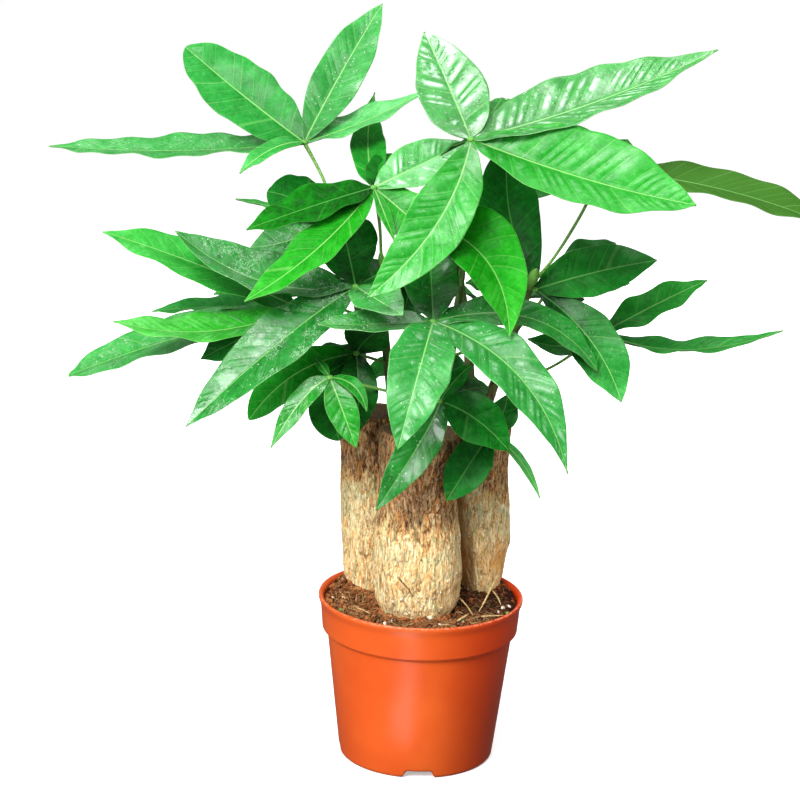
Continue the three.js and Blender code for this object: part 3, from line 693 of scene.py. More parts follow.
def makeSoilMaterial():
    skin = Skin("fibrousPeat", Roughness=0.95, Specular_IOR_Level=0.15)
    grain = skin.noise(700, 5, 0.7)
    patch = skin.noise(90, 4)
    mixed = grain * 0.65 + patch * 0.35 + skin.value("shade") * 0.42
    chips = step(skin.cells(420), 0.06, 0.12, 1.0, 0.0) * step(patch, 0.5, 0.6)
    return skin.finish(blend(chips * 0.6, ramp(mixed, soil["peat"]), soil["chip"]), grain, 0.0016, 1.0)


def makeLitterMaterial():
    # The kind value names what a bit is: 0 crumb, 0.5 straw, 0.8 white fleck, 1 green bit. Fibres
    # lie between crumb and straw.
    skin = Skin("soilLitter", Roughness=0.85, Specular_IOR_Level=0.2)
    grain = skin.noise(600, 5, 0.65)
    kind = skin.value("kind")
    colour = blend(step(kind, 0.2, 0.3), ramp(grain, litter["crumb"]), ramp(grain, litter["straw"]))
    colour = blend(step(kind, 0.65, 0.75), colour, litter["fleck"])
    colour = blend(step(kind, 0.85, 0.95), colour, litter["green"])
    # Painted shade: crumbs and sticks between the front and the right trunk are darkened.
    colour = blend(skin.value("damp") * 0.88, colour, soil["damp"])
    return skin.finish(colour, grain, 0.0006, 0.8)


def makeSoil():
    # The filling's wall follows the pot's inside, and its top is a round grid on the heap's height.
    inner = pot["wall"] + soil["gap"]
    bends = [(pot["crease"] - inner, soil["creaseBend"]), (pot["bandFoot"] - inner, soil["bandBend"])]
    wall = np.array(soil["base"] + bends + [soil["brim"]])
    rings = np.linspace(soil["edgeRadius"], 0.4, soil["rings"])[:, None]
    turn = turns(soil["sides"])[None]
    x, y = rings * np.cos(turn), rings * np.sin(turn)
    top = soilHeight(x, y) + crumble(x, y) * smooth(61.5, 58, rings)
    points = np.concatenate([turned(wall[:, :1], turn, wall[:, 1:]), np.stack([x, y, top], -1)])
    # Painted shade: the soil's colour is darker where the crumbled surface lies lower, and darker between
    # the front and the right trunk.
    shade = crumble(x, y) / 3.0 - 0.35 * soilPaintedShade(x, y)
    build = Build("shade")
    build.add(points, shade=np.concatenate([np.zeros((len(wall), soil["sides"])), shade]))
    build.piece("soil_heap", makeSoilMaterial(), "soil")


def clearOfTrunks(x, y):
    free = np.hypot(x, y) < litter["within"]
    for trunk in trunks.values():
        near = np.hypot(x - trunk["foot"][0], y - trunk["foot"][1])
        free &= near > radiusAt(trunk, litter["trunkHeight"]) + litter["trunkGap"]
    return free


def scatter(random, count):
    # Random spots on the open soil, spread evenly over its area.
    turn = random.random(count * 6) * 2 * math.pi
    radius = litter["reach"] * np.sqrt(random.random(count * 6))
    x, y = radius * np.cos(turn), radius * np.sin(turn)
    keep = np.flatnonzero(clearOfTrunks(x, y))[:count]
    return x[keep], y[keep]


def addBits(build, random, count, sizes, kind, flat):
    x, y = scatter(random, count)
    size = sizes[0] + (sizes[1] - sizes[0]) * random.random(len(x)) ** 2.6
    spots = np.stack([x, y, soilHeight(x, y) + crumble(x, y) + 0.25 * size], -1)
    tilt = unit(np.array([0, 0, 1.0]) + 0.5 * random.normal(size=(len(x), 3)))
    addLumps(build, random, spots, size, tilt, flat, kind=kind, damp=soilPaintedShade(x, y)[:, None, None])


def addStraw(build, start, end, thick, bend, kind=0.5):
    # A thin stick: a bowed line between two points, thinning a little to its far end.
    share = np.linspace(0, 1, 5)
    centres = start + (end - start) * share[:, None] + bend * (4 * share * (1 - share))[:, None]
    radii = thick * (1 - 0.4 * share) * np.array([0.55, 1, 1, 1, 0.5])
    # Painted shade darkens the crumb-coloured sticks between the front and the right trunk.
    damp = 0.6 * soilPaintedShade(start[0], start[1]) * (kind < 0.4)
    build.add(rodPoints(centres, radii, 5), kind=kind, damp=damp)


def addFibres(build, random):
    x, y = scatter(random, litter["fibres"])
    low, high = litter["fibreLength"]
    kinds = litter["fibreKinds"]
    for k, foot in enumerate(np.stack([x, y], -1)):
        turn = random.random() * 6.283
        reach = low + (high - low) * random.random() ** 2
        head = foot + reach * np.array([math.cos(turn), math.sin(turn)])
        if not clearOfTrunks(*head):
            continue
        rise = random.random(2) * 1.6
        start, end = [np.array([*spot, soilHeight(*spot) + crumble(*spot) + lift])
                      for spot, lift in ((foot, rise[0]), (head, rise[1]))]
        bend = np.array([random.normal() * 0.5, random.normal() * 0.5, 0.3 + 0.5 * random.random()])
        addStraw(build, start, end, 0.14 + 0.2 * random.random(), bend, kinds[k % len(kinds)])


def makeLitter():
    random = np.random.default_rng(litter["seed"])
    build = Build("kind", "damp")
    addBits(build, random, litter["crumbs"], litter["crumbSize"], 0.0, 0.7)
    addBits(build, random, litter["flecks"], litter["fleckSize"], 0.8, 0.6)
    addBits(build, random, litter["greens"], litter["greenSize"], 1.0, 0.5)
    for x, y, size, kind in litter["chips"]:
        spot = np.array([[x, y, soilHeight(x, y) + 1.2]])
        addLumps(build, random, spot, np.array([size]), unit(np.array([[0.2, -0.3, 1.0]])), 0.6, kind=kind)
    addFibres(build, random)
    for *ends, thick in litter["sticks"]:
        start, end = [np.array([x, y, soilHeight(x, y) + above]) for x, y, above in ends]
        addStraw(build, start, end, thick, np.array([0.6, 0.4, 0.3]))
    build.piece("soil_litter", makeLitterMaterial(), None)


# Shoots: green stems in the trunks' cut tops, with the scars of old leaves and a bud.

shoots = {
    "shoot_left": {"points": [(-40, 34), (-43, 33, 262), (-50, 26, 322)], "thick": 3.4, "thin": 1.9},
    "shoot_centre": {"points": [(-22, 22), (-27, 6, 268), (-31, -9, 322)], "thick": 3.4, "thin": 1.9},
    "shoot_front": {"points": [(-8, -14), (-6, -22, 240), (-2, -34, 266)], "thick": 3.2, "thin": 2.0},
    "shoot_middle": {"points": [(8, -4), (14, -4, 268), (19, -8, 322)], "thick": 3.6, "thin": 2.0},
    "shoot_right": {"points": [(38, 24), (49, 16, 262), (61, -12, 313)], "thick": 3.6, "thin": 2.2,
                    "budLength": 13, "budWidth": 3.3},
    "shoot_back": {"points": [(28, 36), (24, 46, 270), (14, 56, 326)], "thick": 3.6, "thin": 2.0},
}

stem = {
    "socketDepth": 9.0, "collar": 6.0, "rows": 70, "sides": 16,
    "budLength": 9, "budRows": 14, "budSides": 12,
    "young": [(0.35, (0.055, 0.13, 0.022)), (0.65, (0.16, 0.30, 0.06))],
    "old": [(0.35, (0.11, 0.075, 0.035)), (0.65, (0.28, 0.21, 0.11))],
    "bud": (0.18, 0.46, 0.07),
}


def shootRoute(name):
    (x, y), *rest = shoots[name]["points"]
    low, high = bark["top"] - stem["socketDepth"], bark["top"] + stem["collar"]
    return smoothRoute([(x, y, low), (x, y, high), *rest])


def makeShootMaterial():
    skin = Skin("greenStem", Roughness=0.55, Specular_IOR_Level=0.4)
    streak = skin.noise(420, 4, squeeze=0.2)
    colour = blend(skin.value("age"), ramp(streak, stem["young"]), ramp(streak, stem["old"]))
    colour = blend(skin.value("bud"), colour, stem["bud"])
    return skin.finish(colour, streak, 0.0004, 0.7)


def makeShoots(material):
    # A tapering rod with a swollen base, a low ring at each old leaf's scar and a pointed tip bud.
    share = np.linspace(0, 1, stem["rows"])
    scars = 0.20 * bell(((share * 7) % 1) - 0.5, 0.06) * (share > 0.15)
    age = np.clip(smooth(0.55, 0.05, share) + 2.5 * scars, 0, 1)[:, None]
    t = np.linspace(0, 1, stem["budRows"])
    for name, shoot in shoots.items():
        centres = atShares(shootRoute(name), share)
        radius = shoot["thick"] + (shoot["thin"] - shoot["thick"]) * share + 0.45 * bell(share - 0.10, 0.05)
        build = Build("age", "bud")
        build.add(rodPoints(centres, radius + scars, stem["sides"]), age=age)
        budLength = shoot.get("budLength", stem["budLength"])
        budWidth = shoot.get("budWidth", shoot["thin"])
        budCentres = centres[-1] + unit(centres[-1] - centres[-4]) * (t[:, None] * budLength - 1)
        budRadius = budWidth * (1 - t ** 3) ** 0.6 * (0.72 + 0.33 * np.sin(math.pi * t)) + 0.05
        build.add(rodPoints(budCentres, budRadius, stem["budSides"]), bud=1.0)
        build.piece(name + "_stem", material, name)


# Leaves. hub, mid and tip are readings (right, up, depth), as in the solids: a hub's depth counts
# from the pot's axis, and a leaflet's mid and tip count from their hub. A stalk leaves its shoot at
# a share of the shoot's length and may pass through readings on its way. wide is the blade's breadth
# and lean turns its face from level to the front. tone runs from dark to bright, warm from bluish to
# yellowish green, and olive adds a dull olive. wet is how much water lies on it, trickle
# how many threads of water run over it as pale lines of painted reflection, quilt how far it swells
# between veins and fade how far painted shade darkens it near its hub and lightens it
# towards its tip. foot and point shape its two ends, where more is narrower, and fold is how steep
# its V is.

usualLeaflet = {
    "tone": 0.5, "warm": 0.4, "wet": 0.12, "quilt": 0.5, "olive": 0.0, "trickle": 0.0, "fade": 0.16,
    "foot": 0.85, "point": 0.95, "fold": 0.22,
}

blade = {
    "thick": 0.62, "keel": 0.95, "ridge": 0.28, "edgeWave": 1.0, "least": 0.5, "shortLength": 64.0,
    "rowStep": 1.8, "veinStep": 8.5, "veinSlant": 0.6, "quilt": 0.30, "ripple": 0.8, "ragged": 0.055,
    "stalkRadius": 0.95, "stalkRows": 30, "stalkSides": 12, "hubRadius": 2.2,
    # Shares of a leaflet's length between which its edges wave up and down.
    "longStations": [0, 0.13, 0.3, 0.5, 0.68, 0.86, 1], "shortStations": [0, 0.2, 0.48, 0.78, 1],
    # Shares of the half breadth where points lie.
    "across": [0, 0.08, 0.22, 0.38, 0.55, 0.72, 0.86, 0.95, 1],
}

leafColours = {
    # from the darkest tone to the brightest
    "cool": [(0.003, 0.028, 0.006), (0.004, 0.080, 0.009), (0.007, 0.165, 0.015),
             (0.018, 0.260, 0.034), (0.043, 0.370, 0.066), (0.12, 0.53, 0.15)],
    "warm": [(0.003, 0.032, 0.002), (0.004, 0.095, 0.003), (0.006, 0.200, 0.004),
             (0.013, 0.310, 0.010), (0.038, 0.430, 0.027), (0.10, 0.58, 0.08)],
    "olive": (0.050, 0.165, 0.020), "lines": [(0.05, 0.24, 0.04), (0.33, 0.68, 0.20)],
    "under": [(0.055, 0.17, 0.045), (0.10, 0.26, 0.08)], "stalk": [(0.10, 0.30, 0.05), (0.30, 0.56, 0.14)],
    "paintedGlint": (0.72, 0.90, 0.68), "trickle": (0.70, 0.90, 0.70), "paintedSheenBand": (0.66, 0.92, 0.70),
}

dew = {
    # Drops on a fully wet blade of the usual breadth, and the least wet and broad blade that has any.
    "seed": 42, "count": 110, "wide": 35, "leastWet": 0.35, "leastWide": 15,
    # the drops' pale colours, partly a painted highlight
    "colours": [(0.62, 0.86, 0.62), (0.86, 0.98, 0.86)],
}


def leaflet(mid, tip, wide, lean, **form):
    return {"mid": mid, "tip": tip, "wide": wide, "lean": lean, **usualLeaflet, **form}


def palm(hub, shoot, at, *leaflets, via=()):
    return {"hub": hub, "shoot": shoot, "at": at, "leaflets": leaflets, "via": via}


leaves = {
    "leaf_upper_left": palm(
        (-80, 393, 36), "shoot_left", 0.97,
        leaflet((-155, 385.5, 22), (-235, 386, 46), 38, 14, tone=0.7, warm=0.1, wet=0.6, trickle=0.6),
        leaflet((-117, 420, 20), (-152.5, 448.5, 36), 41, 58, tone=0.58, warm=0.1, wet=0.08, foot=0.6,
                point=0.6),
        leaflet((-57.5, 438, 32), (-35, 478, 58), 31, 62, tone=0.64, warm=0.1, wet=0.4),
        leaflet((-45, 406.5, 16), (-8.5, 426, 30), 28, 12, tone=0.93, warm=0.1, wet=0.5),
        leaflet((-99, 388.5, -20), (-119, 373, -36), 15, 22, tone=0.7, warm=0.2),
        via=[(-68, 371, 34)]),
    "leaf_top_right": palm(
        (21, 398, -48), "shoot_middle", 0.985,
        leaflet((6, 431, 24), (-9.5, 462, 42), 41, 62, tone=0.6, wet=1.0, quilt=1.0, foot=0.6),
        leaflet((98, 424, 20), (167, 457, 36), 42, 30, tone=0.61, wet=1.0, quilt=1.0,
                fold=0.45, foot=0.7, point=1.1),
        leaflet((93, 375.5, -18), (160, 362, -30), 52, 45, tone=0.69, warm=0.6, wet=0.15, quilt=1.0,
                fold=0.45),
        leaflet((2, 345, -24), (-39, 298, -40), 36, 62, tone=0.68, warm=0.6, wet=0.25, quilt=1.0),
        leaflet((12, 394, 12), (3, 388, 22), 9, 30, tone=0.4),
        leaflet((32, 413, 40), (39, 424, 74), 26, -5, wet=0.6),
        via=[(23, 345, -28)]),
    "leaf_centre_top": palm(
        (-37, 366.5, -14), "shoot_centre", 0.99,
        leaflet((-41.4, 395.5, 76), (-38.1, 424.8, 112), 22, 62, tone=0.62, warm=0.5, point=1.3, wet=0.0),
        leaflet((-31, 379, 34), (-27, 388, 66), 22, 35, tone=0.3, wet=0.0),
        leaflet((-8, 382, 14), (18, 396, 28), 30, 48, tone=0.9, warm=0.3, wet=1.0, quilt=0.9),
        leaflet((-14, 348, -7), (9, 326, -17), 29, 55, tone=0.7, warm=0.8, wet=0.2),
        leaflet((-71, 327, -30), (-115, 293, -52), 29, 24, tone=0.58, warm=1.0, wet=0.05),
        leaflet((-73.5, 354, -10), (-114.5, 338, -18), 30, 30, tone=0.26, warm=0.8, wet=0.0),
        leaflet((-30, 350, -18), (-23.5, 334, -28), 8, 0, tone=0.6, warm=0.8),
        via=[(-33, 345, -12)]),
    "leaf_centre_left": palm(
        (-46.5, 304.5, -30), "shoot_centre", 0.72,
        leaflet((-52, 328, 26), (-57, 348, 46), 38, 52, tone=0.27, point=0.7, wet=0.0),
        leaflet((-105, 306, 6), (-158, 336, 12), 42, 22, warm=0.1, wet=0.5, fold=0.4, trickle=1.0),
        leaflet((-30, 314, 20), (-12, 322, 36), 24, 22, tone=0.4),
        leaflet((-93.5, 267, -26), (-150.5, 211.5, -46), 37, 38, tone=0.45, warm=0.1, wet=0.42, trickle=1.0),
        leaflet((-32, 296, -28), (-17, 287.5, -46), 28, 36, tone=0.77, warm=0.3, wet=0.9, trickle=0.5)),
    "leaf_left": palm(
        (-81.5, 289.5, -6), "shoot_left", 0.55,
        leaflet((-138, 313, 4), (-202.5, 334, 8), 42, 25, tone=0.62, warm=0.5, wet=0.05, fade=0.5),
        leaflet((-138, 273, -14), (-196, 278, -28), 34, 17, tone=0.8, warm=0.9, quilt=1.0, wet=0.25,
                fade=0.4),
        leaflet((-152, 270, 10), (-224, 242, 18), 38, 22, tone=0.7, warm=0.2, wet=1.0, point=0.65,
                trickle=0.6),
        leaflet((-128, 289, 36), (-172, 285, 58), 32, 12, tone=0.6, warm=0.1),
        leaflet((-112, 272, 10), (-141.5, 255.5, 14), 30, 40, tone=0.45, warm=0.2)),
    "leaf_front": palm(
        (2, 284, -58), "shoot_front", 0.985,
        leaflet((-34, 281, -2), (-69, 280, -8), 28, 16, tone=0.57, wet=1.0, trickle=0.8),
        leaflet((-5.5, 253, -36), (-17.5, 201, -58), 38, 66, tone=0.67, warm=0.1, quilt=1.0, wet=0.45),
        leaflet((57.5, 249.5, -28), (89.7, 188.5, -42), 35, 36, tone=0.63, warm=0.1, wet=0.5, quilt=0.8,
                point=1.25),
        leaflet((63, 287.5, 14), (105, 255.5, 14), 28, 26, tone=0.52, warm=0.2, wet=0.35, foot=0.55,
                point=0.8, trickle=0.3),
        leaflet((0, 309, 22), (-2, 331, 36), 34, 52, tone=0.3, wet=0.2)),
    "leaf_right": palm(
        (64, 306, -10), "shoot_right", 0.9,
        leaflet((46, 355, 26), (45, 400, 42), 37, 62, tone=0.33, warm=0.2, wet=0.05),
        leaflet((100, 318, 8), (138, 327, 12), 34, 52, tone=0.44, warm=0.3, wet=0.1),
        leaflet((90, 324, 28), (112, 337, 46), 27, 24, tone=0.4, foot=1.8),
        leaflet((42, 309, 12), (21, 309, 18), 26, 22, tone=0.4),
        leaflet((99, 276, -16), (121, 236, -26), 33, 48, tone=0.44, warm=0.2, wet=0.2, foot=1.15, fade=0.8)),
    "leaf_middle_right": palm(
        (-2.4, 345.1, -46), "shoot_middle", 0.88,
        leaflet((35, 321.3, -18), (49.5, 275.6, -30), 44, 38, tone=0.51, warm=1.0, wet=0.0,
                fold=0.5, foot=0.6, point=1.1, fade=0.65),
        leaflet((-3, 357, 4), (-5, 370, 8), 18, 60, tone=0.35),
        leaflet((5, 356, 1), (11, 364, 2), 14, 60, tone=0.35),
        via=[(17, 325, -40)]),
    "leaf_far_right": palm(
        (107, 280, 36), "shoot_right", 0.3,
        leaflet((138, 298.5, 12), (169.5, 315.5, 22), 26, 26, warm=0.5, wet=0.05, fade=0.4),
        leaflet((160, 271, 0), (218.5, 285.5, 6), 28, 6, tone=0.57, warm=0.3, wet=0.2),
        leaflet((84, 271, -10), (61, 275, -20), 23, 30, tone=0.35),
        via=[(72, 255, 28)]),
    "leaf_far_right_top": palm(
        (102, 381, 8), "shoot_right", 0.985,
        leaflet((180, 371, -4), (254, 347, -14), 38, 18, wet=0.0, quilt=0.3, olive=1.0),
        leaflet((109, 392, 28), (116, 401, 50), 20, 34, tone=0.35),
        leaflet((108, 370, -14), (112, 357, -26), 24, 20, tone=0.35),
        leaflet((90, 396, 12), (78, 410, 22), 20, 30, tone=0.35),
        via=[(73, 324, -10), (88, 350, -2)]),
    "leaf_young_left": palm(
        (-61, 246, -52), "shoot_front", 0.55,
        leaflet((-53, 226, -8), (-43.5, 201, -14), 19, 62, tone=0.6, warm=0.7, wet=0.3, quilt=1.0),
        leaflet((-78, 231, -6), (-97, 199.5, -14), 15, 44, tone=0.55, warm=0.6, wet=0.5, trickle=0.7),
        leaflet((-46, 241, -8), (-37.5, 225, -14), 9, 40, warm=0.5),
        leaflet((-66, 253, 6), (-70, 258, 12), 6, 40, tone=0.4)),
    "leaf_lower_left": palm(
        (-45, 262, -18), "shoot_centre", 0.4,
        leaflet((-82, 248, -2), (-111, 217, -8), 26, 58, warm=0.7, point=0.7, wet=0.0),
        leaflet((-57, 233, -8), (-54, 205.5, -12), 32, 64, tone=0.3, point=0.7),
        leaflet((-43, 238, -12), (-43, 211, -16), 24, 64, tone=0.25),
        leaflet((-59, 265, 10), (-72, 263, 18), 14, 12, tone=0.25),
        leaflet((-38, 272, 10), (-26, 280, 20), 30, 45, tone=0.25)),
    "leaf_lower_front": palm(
        (8, 233, -50), "shoot_front", 0.7,
        leaflet((-3, 207, -8), (-30, 160.5, -6), 25, 64, tone=0.4, warm=0.2, foot=1, wet=0.5),
        leaflet((31, 222, -5), (52.5, 202, -10), 30, 60, tone=0.33, warm=0.3, wet=0.05),
        leaflet((17, 247, 8), (27, 257, 14), 12, 40, tone=0.3),
        leaflet((24, 241, 15), (38, 243, 26), 22, 40, tone=0.25, wet=0.5)),
    "leaf_lower_right": palm(
        (40, 213, -28), "shoot_middle", 0.25,
        leaflet((27, 191, -9), (14.3, 168, -11), 26, 64, tone=0.35, warm=0.1, wet=0.1),
        leaflet((47, 225, 8), (50, 239, 16), 20, 45, tone=0.25),
        leaflet((59, 197, 5), (73, 172, 8), 7, 40, tone=0.95),
        via=[(33, 226, -20)]),
    "leaf_upper_left_back": palm(
        (-60, 345, 42), "shoot_left", 0.85,
        leaflet((-83, 357, 8), (-102, 362, 14), 34, 42, tone=0.33, warm=0.2, point=0.7, wet=0.0),
        leaflet((-88, 332, -10), (-112, 327, -18), 30, 32, tone=0.45, warm=0.1, wet=0.9, trickle=0.7),
        leaflet((-95, 352, 24), (-121, 357, 44), 12, 10, tone=0.8),
        leaflet((-62, 352, 32), (-66, 356, 64), 30, 20, tone=0.4)),
    "leaf_inner": palm(
        (-12, 318, 24), "shoot_middle", 0.6,
        leaflet((-27, 313, 4), (-39, 308, 6), 26, 30, tone=0.28),
        leaflet((6, 323, 6), (24, 322, 8), 28, 30, tone=0.26),
        leaflet((-14, 300, -8), (-18, 282, -12), 30, 50, tone=0.24),
        leaflet((-12, 326, 20), (-10, 328, 40), 30, 20, tone=0.35)),
    "leaf_back_left": palm(
        (-76, 298, 74), "shoot_left", 0.62,
        leaflet((-106, 301, 12), (-134, 297, 16), 32, 20, tone=0.45),
        leaflet((-90, 298, 26), (-104, 290, 40), 32, 20),
        leaflet((-72, 296, 26), (-68, 286, 42), 32, 20, tone=0.45)),
    "leaf_back_right": palm(
        (70, 302, 68), "shoot_right", 0.6,
        leaflet((98, 310, 18), (122, 312, 30), 32, 20, tone=0.4),
        leaflet((80, 304, 30), (88, 296, 48), 32, 20),
        leaflet((58, 300, 32), (50, 290, 50), 32, 20, tone=0.45)),
    "leaf_back_middle": palm(
        (-10, 306, 76), "shoot_back", 0.7,
        leaflet((-30, 306, 22), (-46, 296, 38), 32, 20),
        leaflet((-8, 308, 26), (-6, 298, 42), 32, 20, tone=0.45),
        leaflet((14, 306, 24), (30, 296, 40), 32, 20)),
    "leaf_back_top": palm(
        (32, 362, 68), "shoot_back", 0.985,
        leaflet((62, 372, 14), (86, 376, 22), 32, 30, tone=0.4),
        leaflet((46, 374, 28), (54, 372, 48), 32, 20),
        leaflet((24, 368, 28), (14, 362, 46), 32, 20)),
    "leaf_back_low": palm(
        (-4, 256, 72), "shoot_back", 0.4,
        leaflet((-26, 252, 20), (-42, 238, 34), 30, 30, tone=0.4),
        leaflet((-4, 252, 28), (-4, 240, 42), 30, 30, tone=0.45),
        leaflet((18, 252, 20), (34, 240, 34), 30, 30, tone=0.4)),
}


def makeLeafMaterial():
    shade = leafColours
    skin = Skin("leafBlade", Coat_Roughness=0.13, Specular_IOR_Level=0.3)
    mottle, wrinkle, fine = skin.noise(110, 5, 0.6), skin.noise(420, 4, 0.6), skin.noise(1500, 3)
    vein, under, quilt, wet = [skin.value(name) for name in ("vein", "under", "quilt", "wet")]
    veinGap = abs(vein.fraction() - 0.5)
    veinLine = step(veinGap, 0.455, 0.495)
    ribLine = step(skin.value("ribAway"), 0.25, 0.74, 1.0, 0.0)
    edgeLine = step(skin.value("edgeAway"), 0.05, 0.36, 1.0, 0.0)
    vary = (mottle - 0.5) * 0.62 + (wrinkle - 0.5) * 0.40
    tone = skin.value("tone") + vary - veinGap * 0.05
    tones = np.linspace(0, 1, len(shade["cool"]))
    cool, warm = [ramp(tone, list(zip(tones, shade[name]))) for name in ("cool", "warm")]
    colour = blend(skin.value("warm"), cool, warm)
    colour = blend(skin.value("olive"), colour, shade["olive"])
    pale = blend(step(skin.value("tone"), 0.1, 0.8), *shade["lines"])
    for line, strength in ((veinLine, 0.26), (ribLine, 0.92), (edgeLine, 0.5)):
        colour = blend(line * strength, colour, pale)
    colour = blend(under * 0.75, colour, blend(step(mottle, 0.3, 0.7), *shade["under"]))
    # Painted glints: small pale dots on wet blades stand in for light caught by drops of water.
    paintedGlint = step(skin.cells(350), 0.12, 0.19, 1.0, 0.0) * step(skin.noise(120, 3), 0.44, 0.58)
    colour = blend(paintedGlint * step(wet, 0.0, 0.5) * 0.5, colour, shade["paintedGlint"])
    # Painted reflection: thin pale lines stand in for light glinting on threads of water.
    trickle = step(abs(skin.noise(300, 4, 0.65, 0.8) - 0.5), 0.005, 0.028, 0.42, 0.0)
    trickle = trickle * step(skin.noise(80, 4), 0.44, 0.58) * skin.value("trickle")
    colour = blend(trickle, colour, shade["trickle"])
    colour = blend(skin.value("stalk"), colour, blend(step(fine, 0.35, 0.65), *shade["stalk"]))
    # Painted sheen: broken pale bands in the hollow before each vein of a quilted wet blade stand in for
    # light reflected by the water that lies there.
    paintedSheenBand = step(abs((vein + 0.15).fraction() - 0.5), 0.04, 0.27, 1.0, 0.0)
    paintedSheenBand = paintedSheenBand * step(skin.noise(105, 5, 0.7), 0.42, 0.60) * step(quilt, 0.35, 0.9)
    paintedSheenBand = paintedSheenBand * (1.0 - under) * step(wet, 0.2, 1.0, 0.12, 0.85)
    colour = blend(paintedSheenBand, colour, shade["paintedSheenBand"])
    rough = (wrinkle - 0.5) * 0.25 + 0.34 + under * 0.25
    swell = step(veinGap, 0.5, 0.12) * quilt
    height = swell * 0.45 + mottle * 0.8 + wrinkle * 0.38 + fine * 0.12
    film = step(skin.noise(60, 4), 0.45, 0.58) * wet
    return skin.finish(colour, height, 0.0008, 0.8, Roughness=rough,
                       Specular_IOR_Level=wet * 0.97 + 0.03, Coat_Weight=film)


def makeDewMaterial():
    # Partly painted highlight: the drops let light through, and their pale colour makes them look white as
    # if they caught the light.
    skin = Skin("dewDrop", Roughness=0.05, Specular_IOR_Level=0.8, IOR=1.33, Transmission_Weight=0.75)
    return skin.finish(blend(skin.noise(800, 2), *dew["colours"]))


def outline(share, foot, point):
    # Half breadth along the rib, 1 at the widest: a power of the share times a power of what is left.
    widest = foot / (foot + point)
    top = widest ** foot * (1 - widest) ** point
    share = np.clip(share, 0, 1)
    return share ** foot * (1 - share) ** point / top


def arc(start, pull, end, s):
    # The quadratic curve from start to end that bends towards pull.
    return start * (1 - s) ** 2 + 2 * pull * s * (1 - s) + end * s ** 2


def bladeSurface(hub, form):
    # Rows follow the lateral veins: a row leaves the rib at its share and runs forward towards the
    # edge. Across, the blade is a rounded V with waved edges, as in the solid. It swells between its
    # veins, has a low ridge on its rib, a keel under it, and the lower face lies a thickness below.
    start = seen(hub)
    through, end = [seen((right, up, hub[2] + back)) for right, up, back in (form["mid"], form["tip"])]
    pull = 2 * through - 0.5 * (start + end)
    length = lengthsAlong(arc(start, pull, end, np.linspace(0, 1, 60)[:, None]))[-1]
    rows = int(np.clip(length / blade["rowStep"], 14, 100))
    half = np.array(blade["across"])
    across = np.concatenate([-half[:0:-1], half])[None]
    reach = np.abs(across)
    row = np.linspace(0, 1, rows)[:, None]
    share = row + blade["veinSlant"] * reach * row * (1 - row)
    s = share[..., None]
    centre = arc(start, pull, end, s)
    along = unit(2 * (1 - s) * (pull - start) + 2 * s * (end - pull))
    lean = math.radians(form["lean"])
    side = unit(np.cross(along, np.array([0, -math.sin(lean), math.cos(lean)])))
    up = unit(np.cross(side, along))
    fold = form["fold"]
    seed = int(abs(form["tip"][0] * 7 + form["tip"][1] * 13))
    ragged = latticeNoise(0.5 * (across > 0) + 0.1 + 0 * share, share, 2, 9, seed) - 0.5
    breadth = form["wide"] / 2 * outline(share, form["foot"], form["point"])
    breadth = np.maximum(breadth * (1 + 2 * blade["ragged"] * ragged), blade["least"])
    stations = blade["shortStations"] if length < blade["shortLength"] else blade["longStations"]
    beat = np.interp(share, stations, np.arange(len(stations)))
    wave = blade["edgeWave"] * np.cos(math.pi * beat) * smooth(3, 5, breadth)
    ripple = np.sin(share * length * 0.21 + 1.7 * np.sign(across) + seed)
    ripple = ripple * smooth(4, 9, breadth) * reach ** 2
    veins = row * max(4, round(length / blade["veinStep"])) + 0.35 * np.sin(row * 14 + seed)
    veins = veins + 0.25 * np.sin(row * 31 + 2 * seed) + 0.5 * (across > 0)
    swell = np.abs(np.sin(math.pi * veins)) ** 0.7 - 0.6
    swell = swell * np.sin(math.pi * reach ** 0.8) * np.sin(math.pi * row) ** 0.5 * smooth(3, 9, breadth)
    rise = fold * breadth * (1.25 * reach - 0.25 * reach ** 2)
    rise = rise - np.sign(across) * wave * reach ** 1.5 + blade["ripple"] * ripple
    rise = rise + blade["quilt"] * form["quilt"] * swell
    ribAway = reach * breadth
    top = rise + blade["ridge"] * bell(ribAway, 0.8) * (1 - 0.6 * share)
    thin = blade["thick"] * (1 - 0.55 * reach ** 6) * math.hypot(1, fold)
    low = rise - thin - blade["keel"] * bell(ribAway, 1.0) * (1 - 0.75 * share)
    flank = centre + side * (across * breadth)[..., None]
    upper, lower = [flank + up * level[..., None] for level in (top, low)]

    def both(above, below=None):
        # A value on the upper face, and again, or another one, on the lower.
        above = np.broadcast_to(above, share.shape)
        below = above if below is None else np.broadcast_to(below, share.shape)
        return np.concatenate([above, below[:, ::-1]], 1)

    # Painted shade: blades are darker near their hub, where shade falls, and paler towards their tip and
    # edges, where light falls.
    shade = form["fade"] * (share - 0.45) - 0.10 * smooth(0.3, 0.0, share) + 0.06 * (reach - 0.5)
    facts = {
        "vein": both(veins), "ribAway": both(ribAway + 0.35 * share),
        "edgeAway": both((1 - reach) * breadth), "under": both(0.0, 1.0), "tone": both(form["tone"] + shade),
        "quilt": both(form["quilt"] * np.sin(math.pi * reach ** 0.8)),
        **{name: form[name] for name in ("warm", "wet", "olive", "trickle")},
    }
    return np.concatenate([upper, lower[:, ::-1]], 1), facts, upper


